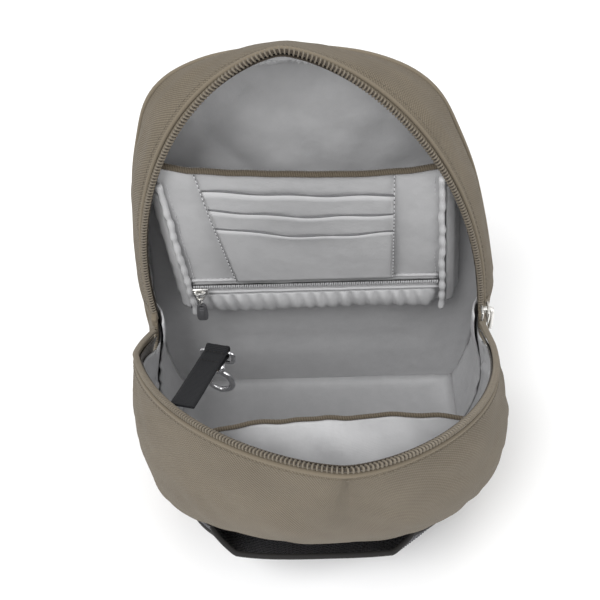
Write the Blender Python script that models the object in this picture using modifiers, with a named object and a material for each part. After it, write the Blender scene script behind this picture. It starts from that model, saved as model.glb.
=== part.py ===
"""A soft zip-around travel day bag, standing on its base with its mouth open.

The back half, base and lower walls stand still.  The front half is a flap that folds
about a line through the two ends of the zip.  Units are metres, +Z is up, the back
panel faces +Y and the origin is on the underside, in the middle of the base.
"""

import math

import bmesh
import bpy
from mathutils import Matrix, Vector

# The bag's overall form
BACK_Y = 0.044            # outer face of the back panel
BASE_FRONT_Y = -0.044     # front edge of the base
BASE_HALF = 0.086         # half width at the base
WALL_HALF = 0.099         # half width at the widest level
WALL_FULL_Z = 0.080       # level where the walls reach their full width
BULGE, BULGE_Z = 0.062, 0.075   # how far the front wall swells by that level
CORNER_POWER = 3.2        # plan roundness of the front corners
BACK_HALF = 0.0975        # half width of the back panel at the fold
BACK_TOP = 0.2615         # top of the back panel

# The mouth: two equal arches of zip that meet at the fold line
FOLD_Y, FOLD_Z = 0.006, 0.107
RIM_HALF = 0.088          # half the distance between the zip's ends
RIM_RISE = 0.1785         # height of the back arch above the fold line
FRONT_RISE = 0.1805       # length of the front arch from the fold line to the lip
RIM_POWER, RISE_POWER = 1.5, 2.2
FRONT_SWELL = 0.005       # the front arch is this much wider at each side
RIM_ANGLE = math.radians(57.0)     # how far the flap stands open from upright
SKIRT_ANGLE = math.radians(114.5)  # where the flap's lower edge lies
BACK_LEAN = -0.085        # the soft back leans sideways by this much of its height
FRONT_LEAN = 0.070        # and the lip drifts the other way

# Cloth layers, each measured inward from the outer surface
SHELL = 0.0016
TAPE_IN, TAPE = 0.0025, 0.0006
LINING_IN, LINING = 0.0036, 0.0012
TAPE_START, TAPE_WIDTH = 0.0012, 0.012
CHAIN_RADIUS = 0.0017
GAP = 0.0004

COLUMNS = 40              # cells along each arch
SIDE_START = FOLD_Y - 0.004       # where the rounded front of the plan begins
CORNER_SEAM = math.radians(52)    # plan angle of the seams between sides and front
SEAM_GAP = 0.012          # plan angle left open at those seams
TO_BACK = 1.0             # past the side, this plan angle reaches the back panel
SEAM_IN = 0.0024          # the fabric starts this far in from the zip's chain
WHOLE = 0.2               # longer than any run of fabric, so a strip takes all of it
BASE_THICK = 0.0024       # board and fabric of the base
FABRIC = (0.215, 0.185, 0.145)
LINING_GREY = (0.52, 0.52, 0.53)
STEEL = (0.72, 0.72, 0.73)
BLACK = (0.012, 0.012, 0.014)
BINDING = (0.125, 0.105, 0.080)
TAB_GREY = (0.10, 0.10, 0.11)


# ---------------------------------------------------------------- scene helpers

def clear_scene():
    """Remove every object, so that the script always starts empty."""
    for item in list(bpy.data.objects):
        bpy.data.objects.remove(item, do_unlink=True)


def collection(name):
    """A new collection in the scene."""
    made = bpy.data.collections.new(name)
    bpy.context.scene.collection.children.link(made)
    return made


def material(name, colour, roughness, metallic=0.0):
    """A plain Principled material."""
    made = bpy.data.materials.new(name)
    made.use_nodes = True
    shader = made.node_tree.nodes["Principled BSDF"]
    shader.inputs["Base Color"].default_value = (*colour, 1.0)
    shader.inputs["Roughness"].default_value = roughness
    shader.inputs["Metallic"].default_value = metallic
    made.diffuse_color = (*colour, 1.0)
    return made


def add_object(name, data, mat, home):
    """An object made from mesh or curve data, with its material."""
    data.materials.append(mat)
    item = bpy.data.objects.new(name, data)
    home.objects.link(item)
    return item


def pivot(name, place, home):
    """An empty on a joint's axis, that the moving pieces are parented to."""
    item = bpy.data.objects.new(name, None)
    item.location = place
    item.empty_display_size = 0.01
    home.objects.link(item)
    bpy.context.view_layer.update()
    return item


def hang_on(parent, *items):
    """Parent the items without moving them."""
    for item in items:
        item.parent = parent
        item.matrix_parent_inverse = parent.matrix_world.inverted()


# ---------------------------------------------------------------- shape helpers

def smooth_points(points, per_span):
    """A Catmull-Rom curve through the points, ends included."""
    ends = [2 * points[0] - points[1], *points, 2 * points[-1] - points[-2]]
    out = []
    for i in range(1, len(ends) - 2):
        p0, p1, p2, p3 = ends[i - 1:i + 3]
        for step in range(per_span):
            t = step / per_span
            out.append(0.5 * ((2 * p1) + (p2 - p0) * t
                              + (2 * p0 - 5 * p1 + 4 * p2 - p3) * t * t
                              + (3 * p1 - p0 - 3 * p2 + p3) * t ** 3))
    out.append(points[-1].copy())
    return out


def grid_normals(rows):
    """Unit normals of a grid of points, outward where columns cross levels."""
    normals = []
    for r, row in enumerate(rows):
        below, above = rows[max(r - 1, 0)], rows[min(r + 1, len(rows) - 1)]
        line = []
        for c in range(len(row)):
            along = row[min(c + 1, len(row) - 1)] - row[max(c - 1, 0)]
            line.append(along.cross(above[c] - below[c]).normalized())
        normals.append(line)
    return normals


def inset(rows, depth):
    """The grid moved inward by a depth."""
    return [[p - n * depth for p, n in zip(row, line)]
            for row, line in zip(rows, grid_normals(rows))]


def sheet(name, rows, thickness, mat, home, offset=-1.0):
    """A grid of points made into one closed sheet by Solidify."""
    mesh = bpy.data.meshes.new(name)
    width = len(rows[0])
    points = [p for row in rows for p in row]
    faces = [(r * width + c, r * width + c + 1, (r + 1) * width + c + 1, (r + 1) * width + c)
             for r in range(len(rows) - 1) for c in range(width - 1)]
    mesh.from_pydata(points, [], faces)
    mesh.update()
    item = add_object(name, mesh, mat, home)
    solid = item.modifiers.new("thickness", "SOLIDIFY")
    solid.thickness = thickness
    solid.offset = offset
    mesh.shade_smooth()
    return item


def outline_plate(name, outline, thickness, mat, home):
    """A flat outline, given as points that run anticlockwise about its outward side."""
    mesh = bpy.data.meshes.new(name)
    build = bmesh.new()
    build.faces.new([build.verts.new(p) for p in outline])
    build.to_mesh(mesh)
    build.free()
    item = add_object(name, mesh, mat, home)
    solid = item.modifiers.new("thickness", "SOLIDIFY")
    solid.thickness = thickness
    solid.offset = -1.0
    return item


def tube(name, points, radius, mat, home, sides=2):
    """A round cord along the points, with closed ends."""
    curve = bpy.data.curves.new(name, "CURVE")
    curve.dimensions = "3D"
    curve.bevel_depth = radius
    curve.bevel_resolution = sides
    curve.use_fill_caps = True
    spline = curve.splines.new("POLY")
    spline.points.add(len(points) - 1)
    for knot, place in zip(spline.points, points):
        knot.co = (*place, 1.0)
    return add_object(name, curve, mat, home)


def rounded_box(name, centre, size, mat, home, bevel=0.0004, turn=None):
    """A box from a unit cube, with rounded edges; turn is an optional rotation."""
    mesh = bpy.data.meshes.new(name)
    build = bmesh.new()
    bmesh.ops.create_cube(build, size=1.0)
    bmesh.ops.scale(build, vec=size, verts=build.verts)
    build.to_mesh(mesh)
    build.free()
    item = add_object(name, mesh, mat, home)
    item.location = centre
    if turn is not None:
        item.rotation_euler = turn.to_euler()
    edge = item.modifiers.new("edges", "BEVEL")
    edge.width = bevel
    edge.segments = 2
    return item


def cylinder(name, centre, radius, depth, mat, home, turn=None, segments=20):
    """A cylinder along local Z; turn is an optional rotation."""
    mesh = bpy.data.meshes.new(name)
    build = bmesh.new()
    bmesh.ops.create_cone(build, cap_ends=True, segments=segments, radius1=radius,
                          radius2=radius, depth=depth)
    build.to_mesh(mesh)
    build.free()
    mesh.shade_smooth()
    mesh.set_sharp_from_angle(angle=math.radians(40))
    item = add_object(name, mesh, mat, home)
    item.location = centre
    if turn is not None:
        item.rotation_euler = turn.to_euler()
    return item


def as_mesh(item):
    """Replace a curve object by its welded mesh, so that it can be cut or joined."""
    bpy.context.view_layer.update()
    graph = bpy.context.evaluated_depsgraph_get()
    mesh = bpy.data.meshes.new_from_object(item.evaluated_get(graph))
    build = bmesh.new()
    build.from_mesh(mesh)
    bmesh.ops.remove_doubles(build, verts=build.verts, dist=0.00001)
    build.to_mesh(mesh)
    build.free()
    name, home, world = item.name, item.users_collection[0], item.matrix_world.copy()
    bpy.data.objects.remove(item)
    made = bpy.data.objects.new(name, mesh)
    made.matrix_world = world
    home.objects.link(made)
    return made


def combine(item, other, operation, cutters):
    """Boolean the other object into the item and keep the other as a hidden cutter."""
    step = item.modifiers.new(operation.lower(), "BOOLEAN")
    step.operation = operation
    step.solver = "EXACT"
    step.object = other
    for home in list(other.users_collection):
        home.objects.unlink(other)
    cutters.objects.link(other)
    other.hide_render = True
    other.display_type = "WIRE"


# ---------------------------------------------------------------- the bag's surfaces

def lean(z):
    """Sideways drift of the back half at a level."""
    return BACK_LEAN * max(0.0, z - FOLD_Z)


def arch(half, rise, steps, start=0.07):
    """An arch of zip as (across, up) pairs, from the left end to the right."""
    points = []
    for i in range(steps + 1):
        angle = math.pi - start - (math.pi - 2 * start) * i / steps
        across = math.copysign(abs(math.cos(angle)) ** (2 / RIM_POWER), math.cos(angle))
        points.append((half * across, rise * math.sin(angle) ** (2 / RISE_POWER)))
    return points


def back_rim(steps=COLUMNS):
    """The back arch of the mouth, a hair behind the fold's plane."""
    return [Vector((x + lean(FOLD_Z + h), FOLD_Y + CHAIN_RADIUS + GAP, FOLD_Z + h))
            for x, h in arch(RIM_HALF, RIM_RISE, steps)]


def on_flap(across, out, below=0.0):
    """A point of the flap: across, out from the fold line, and below the mouth's plane."""
    return Vector((across,
                   FOLD_Y - out * math.sin(RIM_ANGLE) - below * math.cos(RIM_ANGLE),
                   FOLD_Z + out * math.cos(RIM_ANGLE) - below * math.sin(RIM_ANGLE)))


def front_rim(steps=COLUMNS):
    """The front arch of the mouth, the lip of the flap."""
    rim = []
    for x, out in arch(RIM_HALF, FRONT_RISE, steps):
        share = min(1.0, out / 0.04)
        swell = 1.0 + FRONT_SWELL / RIM_HALF * share
        drift = FRONT_LEAN * (out - 0.09) * share
        rim.append(on_flap(x * swell + drift, out, CHAIN_RADIUS + GAP))
    return rim


def front_wall_y(z):
    """How far forward the middle of the front wall is at a level."""
    return BASE_FRONT_Y - BULGE * (max(z, 0.0) / BULGE_Z) ** 0.7


def half_width(z):
    """Half the bag's width at a level."""
    return BASE_HALF + (WALL_HALF - BASE_HALF) * (1 - (1 - min(z / WALL_FULL_Z, 1.0)) ** 2.5)


def pinch(y, z):
    """The zip's ends draw the sides in around the fold line."""
    return 0.009 * math.exp(-((y - FOLD_Y) / 0.022) ** 2 - ((z - FOLD_Z) / 0.040) ** 2)


def wall_point(angle, z, start_y):
    """The outer wall in plan: angle runs from pi at the left, round the front, to 0."""
    across = math.copysign(abs(math.cos(angle)) ** (2 / CORNER_POWER), math.cos(angle))
    y = start_y - (start_y - front_wall_y(z)) * math.sin(angle) ** (2 / CORNER_POWER)
    x = across * (half_width(z) - pinch(y, z))
    return x, y


def wall_y(x, z):
    """The front wall's place under a point given by x and level."""
    share = min(abs(x) / half_width(z), 1.0)
    depth = (1 - share ** CORNER_POWER) ** (1 / CORNER_POWER)
    return SIDE_START - (SIDE_START - front_wall_y(z)) * depth


def skirt_level(y, drop):
    """The level where the flap's lower edge passes over a place in plan."""
    return FOLD_Z - drop - max(0.0, FOLD_Y - y) * math.tan(SKIRT_ANGLE - math.pi / 2)


def skirt_point(angle, drop):
    """The wall where it meets the flap's lower edge, found by settling z against y."""
    z = 0.08
    for _ in range(12):
        x, y = wall_point(angle, z, SIDE_START)
        z = skirt_level(y, drop)
    return Vector((x, y, z))


def flap_rows(low, high, levels, columns=COLUMNS):
    """The flap's outer surface between two shares of its height, as rows of points."""
    rim = front_rim(columns)
    rows = []
    for level in range(levels + 1):
        share = low + (high - low) * level / levels
        row = []
        for c, top in enumerate(rim):
            angle = math.pi * (1 - c / columns)
            angle = min(max(angle, 0.02), math.pi - 0.02)
            foot = skirt_point(angle, 0.0015)
            frontness = math.sin(angle)
            swell = (0.003 + 0.0115 * frontness ** 2) * math.sin(math.pi * share)
            side = Vector((math.cos(angle) * 0.8, -math.sin(angle), -0.25 * frontness))
            row.append(foot.lerp(top, share) + side * swell * min(1.0, 12 * frontness))
        rows.append(row)
    return rows


def strip(fine, start, end, levels, skip=0):
    """Part of a surface between two distances in from the rim, its first row.

    Columns near the zip's ends are left out with skip.
    """
    rows = [[] for _ in range(levels + 1)]
    for c in range(skip, len(fine[0]) - skip):
        column = [row[c] for row in fine]
        length = sum((b - a).length for a, b in zip(column, column[1:]))
        near, far = min(start, 0.4 * length), min(end, length)
        for level in range(levels + 1):
            rows[level].append(walk(column, near + (far - near) * level / levels))
    return rows


def flap_strip(start, end, levels, skip=0):
    """Part of the flap's surface, its lower row first."""
    fine = flap_rows(0.0, 1.0, 24)[::-1]
    return strip(fine, start, end, levels, skip)[::-1]


def walk(points, reach):
    """The place a given distance along a run of points."""
    for a, b in zip(points, points[1:]):
        step = (b - a).length
        if reach <= step:
            return a.lerp(b, reach / step)
        reach -= step
    return points[-1].copy()


def back_outline_half():
    """Half of the back panel's outline above the fold, from the side to the top."""
    knots = [(BACK_HALF, FOLD_Z), (0.0930, 0.143), (0.0865, 0.181), (0.0785, 0.209),
             (0.0695, 0.232), (0.0570, 0.2465), (0.0390, 0.2560), (0.0190, 0.2605),
             (0.0, BACK_TOP)]
    return smooth_points([Vector((x, 0.0, z)) for x, z in knots], 6)


def back_outline(y, shrink=0.0):
    """The back panel's arch at a depth, left to right, leaning with the back."""
    half = back_outline_half()
    centre = Vector((0.0, 0.0, FOLD_Z))
    scaled = []
    for p in half:
        away = p - centre
        scaled.append(centre + away * (1 - shrink / max(away.length, 0.001)))
    left = [Vector((-p.x, 0, p.z)) for p in scaled]
    ring = left[:-1] + [Vector((p.x, 0, p.z)) for p in reversed(scaled)]
    return [Vector((p.x + lean(p.z), y, p.z)) for p in ring]


def resample(points, count):
    """The same run of points, spaced evenly."""
    total = sum((b - a).length for a, b in zip(points, points[1:]))
    return [walk(points, total * i / count * 0.999999) for i in range(count + 1)]


def gusset_rows(levels, columns=COLUMNS):
    """The back gusset's outer surface, from the rim to the back panel's edge."""
    rim = resample(back_rim(4 * columns), columns)
    edge = resample(back_outline(BACK_Y - SHELL - GAP), columns)
    rows = []
    for level in range(levels + 1):
        share = level / levels
        row = []
        for c, (near, far) in enumerate(zip(rim, edge)):
            swell = 0.004 * math.sin(math.pi * share)
            away = (far - Vector((lean(far.z), far.y, FOLD_Z))).normalized()
            row.append(near.lerp(far, share) + away * swell)
        rows.append(row)
    return rows


def gusset_strip(start, end, levels, skip=0):
    """Part of the back gusset, its row at the rim first."""
    return strip(gusset_rows(16), start, end, levels, skip)


# ---------------------------------------------------------------- the bag's pieces

def tub_rows(first, last, levels, columns, low=0.0032, drop=0.0022, back=BACK_Y - 0.0026):
    """Rows of the standing wall between two plan angles.

    Angles beyond pi or below 0 run straight back along a side.
    """
    rows = []
    for level in range(levels + 1):
        row = []
        for c in range(columns + 1):
            angle = first + (last - first) * c / columns
            inner = min(max(angle, 0.0), math.pi)
            beyond = abs(angle - inner)
            z = 0.05
            for _ in range(12):
                x, y = wall_point(inner, z, SIDE_START)
                y += beyond * (back - SIDE_START)
                x = math.copysign(half_width(z) - pinch(y, z), x) if beyond else x
                top = skirt_level(y, drop)
                z = low + (top - low) * level / levels
            row.append(Vector((x, y, z)))
        rows.append(row)
    return rows


def make_shell(home, mats):
    """The fabric outside: back, base, sides, lower front and the two arched bands."""
    arch_points = resample(back_outline(BACK_Y), 44)
    lower = [Vector((x, BACK_Y, z)) for x, z in
             ((0.0990, 0.075), (0.0970, 0.040), (0.0920, 0.014), (0.0840, 0.0030))]
    outline = arch_points + lower + [Vector((-p.x, p.y, p.z)) for p in reversed(lower)]
    outline_plate("back_panel", outline[::-1], SHELL, mats["fabric"], home)

    base = []
    steps = 28
    for i in range(steps + 1):
        x, y = wall_point(math.pi * (1 - i / steps), 0.0, SIDE_START)
        base.append(Vector((x * 0.985, y + 0.001, 0.0)))
    base += [Vector((0.083, BACK_Y - 0.002, 0.0)), Vector((-0.083, BACK_Y - 0.002, 0.0))]
    outline_plate("base_panel", base[::-1], BASE_THICK, mats["fabric"], home)

    sheet("back_gusset", gusset_strip(SEAM_IN, WHOLE, 4), SHELL, mats["fabric"], home)
    left = tub_rows(math.pi + TO_BACK, math.pi - CORNER_SEAM, 5, 16)
    front = tub_rows(math.pi - CORNER_SEAM - SEAM_GAP, CORNER_SEAM + SEAM_GAP, 5, 18)
    right = tub_rows(CORNER_SEAM, -TO_BACK, 5, 16)
    sheet("side_wall_left", left, SHELL, mats["fabric"], home)
    sheet("side_wall_right", right, SHELL, mats["fabric"], home)
    sheet("lower_front_panel", front, SHELL, mats["fabric"], home)


def make_root_lining(home, mats):
    """The grey cloth inside the part that stands still."""
    arch_points = resample(back_outline(BACK_Y - 0.0030, shrink=0.0065), 40)
    lower = [Vector((x, BACK_Y - 0.0030, z)) for x, z in
             ((0.0905, 0.075), (0.0890, 0.040), (0.0860, 0.018), (0.0790, 0.0075))]
    outline = arch_points + lower + [Vector((-p.x, p.y, p.z)) for p in reversed(lower)]
    outline_plate("back_lining", outline[::-1], 0.0020, mats["lining"], home)
    sheet("gusset_lining", inset(gusset_strip(0.0085, 0.031, 3, skip=1), LINING_IN),
          LINING, mats["lining"], home)
    wall = tub_rows(math.pi + 0.84, -0.84, 4, 44, low=0.0065, drop=0.0035)
    sheet("wall_lining", inset(wall, 0.0032), LINING, mats["lining"], home)
    base = []
    steps = 24
    for i in range(steps + 1):
        x, y = wall_point(math.pi * (1 - i / steps), 0.0, SIDE_START)
        base.append(Vector((x * 0.93, y * 0.90, 0.0028)))
    base += [Vector((0.0790, BACK_Y - 0.0060, 0.0028)),
             Vector((-0.0790, BACK_Y - 0.0060, 0.0028))]
    outline_plate("base_lining", base[::-1], LINING, mats["lining"], home)


def make_zip(home, mats):
    """Both halves of the main zip: a tape and a chain of coil on each."""
    back = inset(gusset_strip(TAPE_START, TAPE_WIDTH, 2, skip=1), TAPE_IN)
    front = inset(flap_strip(TAPE_START, TAPE_WIDTH, 2, skip=2), TAPE_IN)
    sheet("back_zip_tape", back, TAPE, mats["tape"], home)
    sheet("front_zip_tape", front, TAPE, mats["tape"], home)
    tube("back_zip_chain", back_rim(60), CHAIN_RADIUS, mats["chain"], home)
    tube("front_zip_chain", front_rim(60), CHAIN_RADIUS, mats["chain"], home)


def make_flap(home, mats):
    """The front panel that folds, with its lining."""
    sheet("front_panel", flap_strip(SEAM_IN, WHOLE, 8), SHELL, mats["fabric"], home)
    lining = inset(flap_strip(0.0085, WHOLE, 8, skip=3), LINING_IN)
    sheet("front_lining", lining, LINING, mats["lining"], home)


# ---------------------------------------------------------------- the organiser

ORG_HALF = 0.0690         # half width of the organiser on the back wall
ORG_TOP, ORG_ZIP, ORG_LOW = 0.2060, 0.1230, 0.0990   # its top edge, zip and bottom
ORG_Y_TOP, ORG_Y_LOW = 0.0150, 0.0215    # its face leans forward at the top
SLOT_TOPS = (0.1895, 0.1765, 0.1640)
SLOT_LOW = 0.1310
SLOT_HALF = 0.0470
SLOT_STEP = 0.0011        # how far each card slot lies in front of the one behind


def organiser_y(z, out=0.0):
    """Depth of the organiser's leaning face at a level."""
    share = (z - ORG_LOW) / (ORG_TOP - ORG_LOW)
    return ORG_Y_LOW + (ORG_Y_TOP - ORG_Y_LOW) * share - out


def organiser_point(x, z, out=0.0):
    """A point on the organiser's face, out being in front of it."""
    return Vector((x + lean(z), organiser_y(z, out), z))


def organiser_panel(name, low, high, half_low, half_high, out, thickness, mat, home):
    """A flat panel of the organiser between two levels, facing the mouth."""
    corners = [(-half_low, low), (half_low, low), (half_high, high), (-half_high, high)]
    outline = [organiser_point(x, z, out) for x, z in corners]
    return outline_plate(name, outline, thickness, mat, home)


def organiser_cord(name, ends, out, radius, mat, home, steps=8):
    """A straight cord on the organiser's face between two (x, z) places."""
    (x0, z0), (x1, z1) = ends
    points = [organiser_point(x0 + (x1 - x0) * i / steps, z0 + (z1 - z0) * i / steps, out)
              for i in range(steps + 1)]
    return tube(name, points, radius, mat, home)


def make_organiser(home, mats):
    """Passport pocket, card slots and the zipped pocket on the back wall."""
    organiser_panel("organiser_sheet", ORG_ZIP + 0.0045, ORG_TOP, ORG_HALF, ORG_HALF, 0.0,
                    0.0010, mats["lining"], home)
    for i, top in enumerate(SLOT_TOPS):
        taper = 0.085 * (SLOT_TOPS[0] - top)
        organiser_panel(f"card_slot_{i + 1}", SLOT_LOW, top, SLOT_HALF - 0.005,
                        SLOT_HALF - taper, (i + 1) * SLOT_STEP, 0.0006, mats["lining"], home)
    organiser_cord("organiser_top_binding", ((-ORG_HALF, ORG_TOP + 0.0024),
                   (ORG_HALF, ORG_TOP + 0.0024)), -0.0005, 0.0018, mats["binding"], home, 16)
    for side, name in ((-1, "left"), (1, "right")):
        edge = side * (ORG_HALF - 0.0012)
        organiser_cord(f"organiser_piping_{name}", ((edge, ORG_LOW + 0.002),
                       (edge, ORG_TOP - 0.001)), 0.0020, 0.0011, mats["lining"], home, 12)
        make_bellows(f"organiser_bellows_{name}", side, home, mats)
    tape_half = ORG_HALF - 0.0045
    organiser_panel("pocket_tape_upper", ORG_ZIP + 0.0006, ORG_ZIP + 0.0040, tape_half,
                    tape_half, 0.0004, 0.0006, mats["lining"], home)
    organiser_panel("pocket_tape_lower", ORG_ZIP - 0.0040, ORG_ZIP - 0.0006, tape_half,
                    tape_half, 0.0004, 0.0006, mats["lining"], home)
    organiser_cord("pocket_zip_coil", ((-tape_half, ORG_ZIP), (tape_half, ORG_ZIP)), 0.0021,
                   0.0012, mats["lining"], home, 4)
    make_pocket_bag(home, mats)


def make_bellows(name, side, home, mats):
    """The side fold that lets the organiser stand away from the back wall."""
    levels, rows = 6, []
    for level in range(levels + 1):
        z = 0.108 + (0.188 - 0.108) * level / levels
        near = Vector((side * 0.0712 + lean(z), organiser_y(z) + 0.0016, z))
        far = Vector((side * 0.0745 + lean(z), BACK_Y - 0.0062, z))
        middle = near.lerp(far, 0.5) + Vector((side * 0.0018, 0.0, 0.0))
        row = [near, near.lerp(middle, 0.5), middle, middle.lerp(far, 0.5), far]
        rows.append(row if side < 0 else row[::-1])
    sheet(name, rows, 0.0008, mats["lining"], home)


def make_pocket_bag(home, mats):
    """The soft bag of the zipped pocket, hanging behind and below its zip."""
    middle = 0.5 * (ORG_LOW + ORG_ZIP - 0.0050)
    bag = rounded_box("zip_pocket_bag", (lean(middle), 0.0265, middle),
                      (2 * ORG_HALF - 0.004, 0.016, ORG_ZIP - 0.0050 - ORG_LOW),
                      mats["lining"], home, bevel=0.006)
    bag.modifiers["edges"].segments = 4


def make_pocket_puller(home, mats):
    """The small zip's slider, and its pull of a metal link and a dark tab."""
    x = -ORG_HALF + 0.0070
    place = organiser_point(x, ORG_ZIP, 0.0)
    front = place.y - 0.0036
    slider = rounded_box("pocket_slider", (place.x, front - 0.0013, place.z),
                         (0.0085, 0.0024, 0.0048), mats["steel"], home)
    link_hinge = Vector((place.x, front - 0.0036, place.z))
    link = rounded_box("pocket_link", (place.x, link_hinge.y, place.z - 0.0032),
                       (0.0036, 0.0014, 0.0076), mats["steel"], home)
    tab_top = place.z - 0.0074
    tab = rounded_box("pocket_tab", (place.x, link_hinge.y, tab_top - 0.0068),
                      (0.0052, 0.0018, 0.0130), mats["rubber"], home, bevel=0.0007)
    slide = pivot("pocket_slide", slider.location, home)
    swing = pivot("pocket_link_hinge", link_hinge, home)
    dangle = pivot("pocket_tab_hinge", Vector((place.x, link_hinge.y, tab_top)), home)
    hang_on(dangle, tab)
    hang_on(swing, link, dangle)
    hang_on(slide, slider, swing)


# ---------------------------------------------------------------- pockets of the front

def make_slip_pocket(home, mats):
    """A slack pocket inside the flap, sewn to its lining at the sides and the bottom."""
    first, last, levels = 10, 31, 6
    low, high = 0.12, 0.90
    cloth = inset(flap_rows(low, high, levels), LINING_IN + LINING + 0.0011)
    rows = []
    for level, row in enumerate(cloth):
        share = level / levels
        run = row[first:last + 1]
        left, right = run[0], run[-1]
        line = []
        for i, on_lining in enumerate(run):
            across = i / (len(run) - 1)
            bow = on_flap(0.0, -0.012) - on_flap(0.0, 0.0)
            chord = left.lerp(right, across) + bow * math.sin(math.pi * across)
            line.append(on_lining.lerp(chord, share ** 1.3))
        rows.append(line)
    sheet("slip_pocket", rows, 0.0009, mats["lining"], home)
    lift = (on_flap(0.0, 0.0) - on_flap(0.0, 0.0, 0.0017))
    tube("slip_pocket_binding", [p + lift for p in rows[-1][1:-1]], 0.0011,
         mats["binding"], home)
    column = [row[last] for row in inset(flap_rows(0.915, 0.985, 3),
                                         LINING_IN + LINING + 0.0016)]
    tube("slip_pocket_piping", [p + Vector((-0.0012, 0, 0)) for p in column], 0.0009,
         mats["lining"], home)


POCKET_RIM_Z, POCKET_LOW_Z = 0.060, 0.012
POCKET_REACH = 0.0120     # how far the mesh pocket stands off the front wall


def make_mesh_pocket(home, mats):
    """An open-topped pocket of elastic mesh low on the outside of the front."""
    columns, levels = 26, 6
    rows = []
    for level in range(levels + 1):
        share = level / levels
        z = POCKET_LOW_Z + (POCKET_RIM_Z - 0.0012 - POCKET_LOW_Z) * share
        line = []
        for c in range(columns + 1):
            s = c / columns
            wide = -0.080 + 0.160 * s
            rim = -0.0585 + 0.1050 * s
            x = wide + (rim - wide) * share
            edge = min(s, 1 - s)
            stand = 0.0016 + POCKET_REACH * math.sqrt(share) * min(1.0, edge / 0.12) ** 0.7
            line.append(Vector((x, wall_y(x, z) - stand, z)))
        rows.append(line)
    sheet("mesh_pocket", rows, 0.0009, mats["black"], home)
    rim = [p + Vector((0.0, 0.0004, 0.0018)) for p in rows[-1][1:-1]]
    tube("mesh_pocket_binding", rim, 0.0010, mats["black"], home)


# ---------------------------------------------------------------- hardware

SLIDER_AT = Vector((0.0893, FOLD_Y, 0.1108))


def make_main_pull(home, mats):
    """The main zip's slider at the right end of the mouth, with its lockable pull."""
    slider = rounded_box("main_slider", SLIDER_AT, (0.0046, 0.0090, 0.0085),
                         mats["steel"], home, bevel=0.0009)
    hinge = SLIDER_AT + Vector((0.0040, 0.0, 0.0015))
    pull = rounded_box("main_puller", hinge + Vector((0.0, 0.0, -0.0066)),
                       (0.0018, 0.0058, 0.0150), mats["steel"], home, bevel=0.0006)
    swing = pivot("main_pull_hinge", hinge, home)
    hang_on(swing, pull)
    hang_on(slider, swing)
    rounded_box("zip_stop_left", (-SLIDER_AT.x + 0.0008, FOLD_Y, 0.1125),
                (0.0030, 0.0070, 0.0060), mats["tape"], home, bevel=0.0008)


LEASH_ROOT = Vector((-0.0640, -0.0800, 0.1570))
LEASH_END = Vector((-0.0525, -0.0300, 0.1290))
STRAP_WIDTH, STRAP_THICK = 0.0120, 0.0020


def leash_axes():
    """Unit vectors along the strap, across it and up from its face."""
    along = (LEASH_END - LEASH_ROOT).normalized()
    across = along.cross(Vector((0.0, 0.0, 1.0))).normalized()
    return along, across, across.cross(along).normalized()


def leash_turn(x, y, z):
    """The rotation whose local axes are the given unit vectors."""
    return Matrix((x, y, z)).transposed()


def make_leash(home, cutters, mats):
    """A key leash: webbing strap, swinging eye, swivelling snap hook and its gate."""
    along, across, face = leash_axes()
    turn = leash_turn(across, along, face)
    length = (LEASH_END - LEASH_ROOT).length
    strap = rounded_box("leash_strap", LEASH_ROOT + along * (length / 2 - 0.001),
                        (STRAP_WIDTH, length - 0.002, STRAP_THICK), mats["black"], home,
                        bevel=0.0005, turn=turn)
    bar_turn = across.to_track_quat("Z", "Y").to_matrix()
    roll = cylinder("strap_roll", LEASH_END, 0.0034, STRAP_WIDTH, mats["black"], home,
                    turn=bar_turn, segments=24)
    bore = cylinder("strap_bore", LEASH_END, 0.0019, STRAP_WIDTH * 1.5, mats["black"], home,
                    turn=bar_turn, segments=20)
    combine(strap, roll, "UNION", cutters)
    combine(strap, bore, "DIFFERENCE", cutters)
    sway = pivot("leash_hinge", LEASH_ROOT, home)
    swing = pivot("eye_hinge", LEASH_END, home)
    eye, hook, gate, gate_hinge = make_snap_hook(home, cutters, mats, across)
    lever = pivot("gate_hinge", gate_hinge, home)
    hang_on(lever, gate)
    hang_on(swing, eye, hook, lever)
    hang_on(sway, strap, swing)


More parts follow.
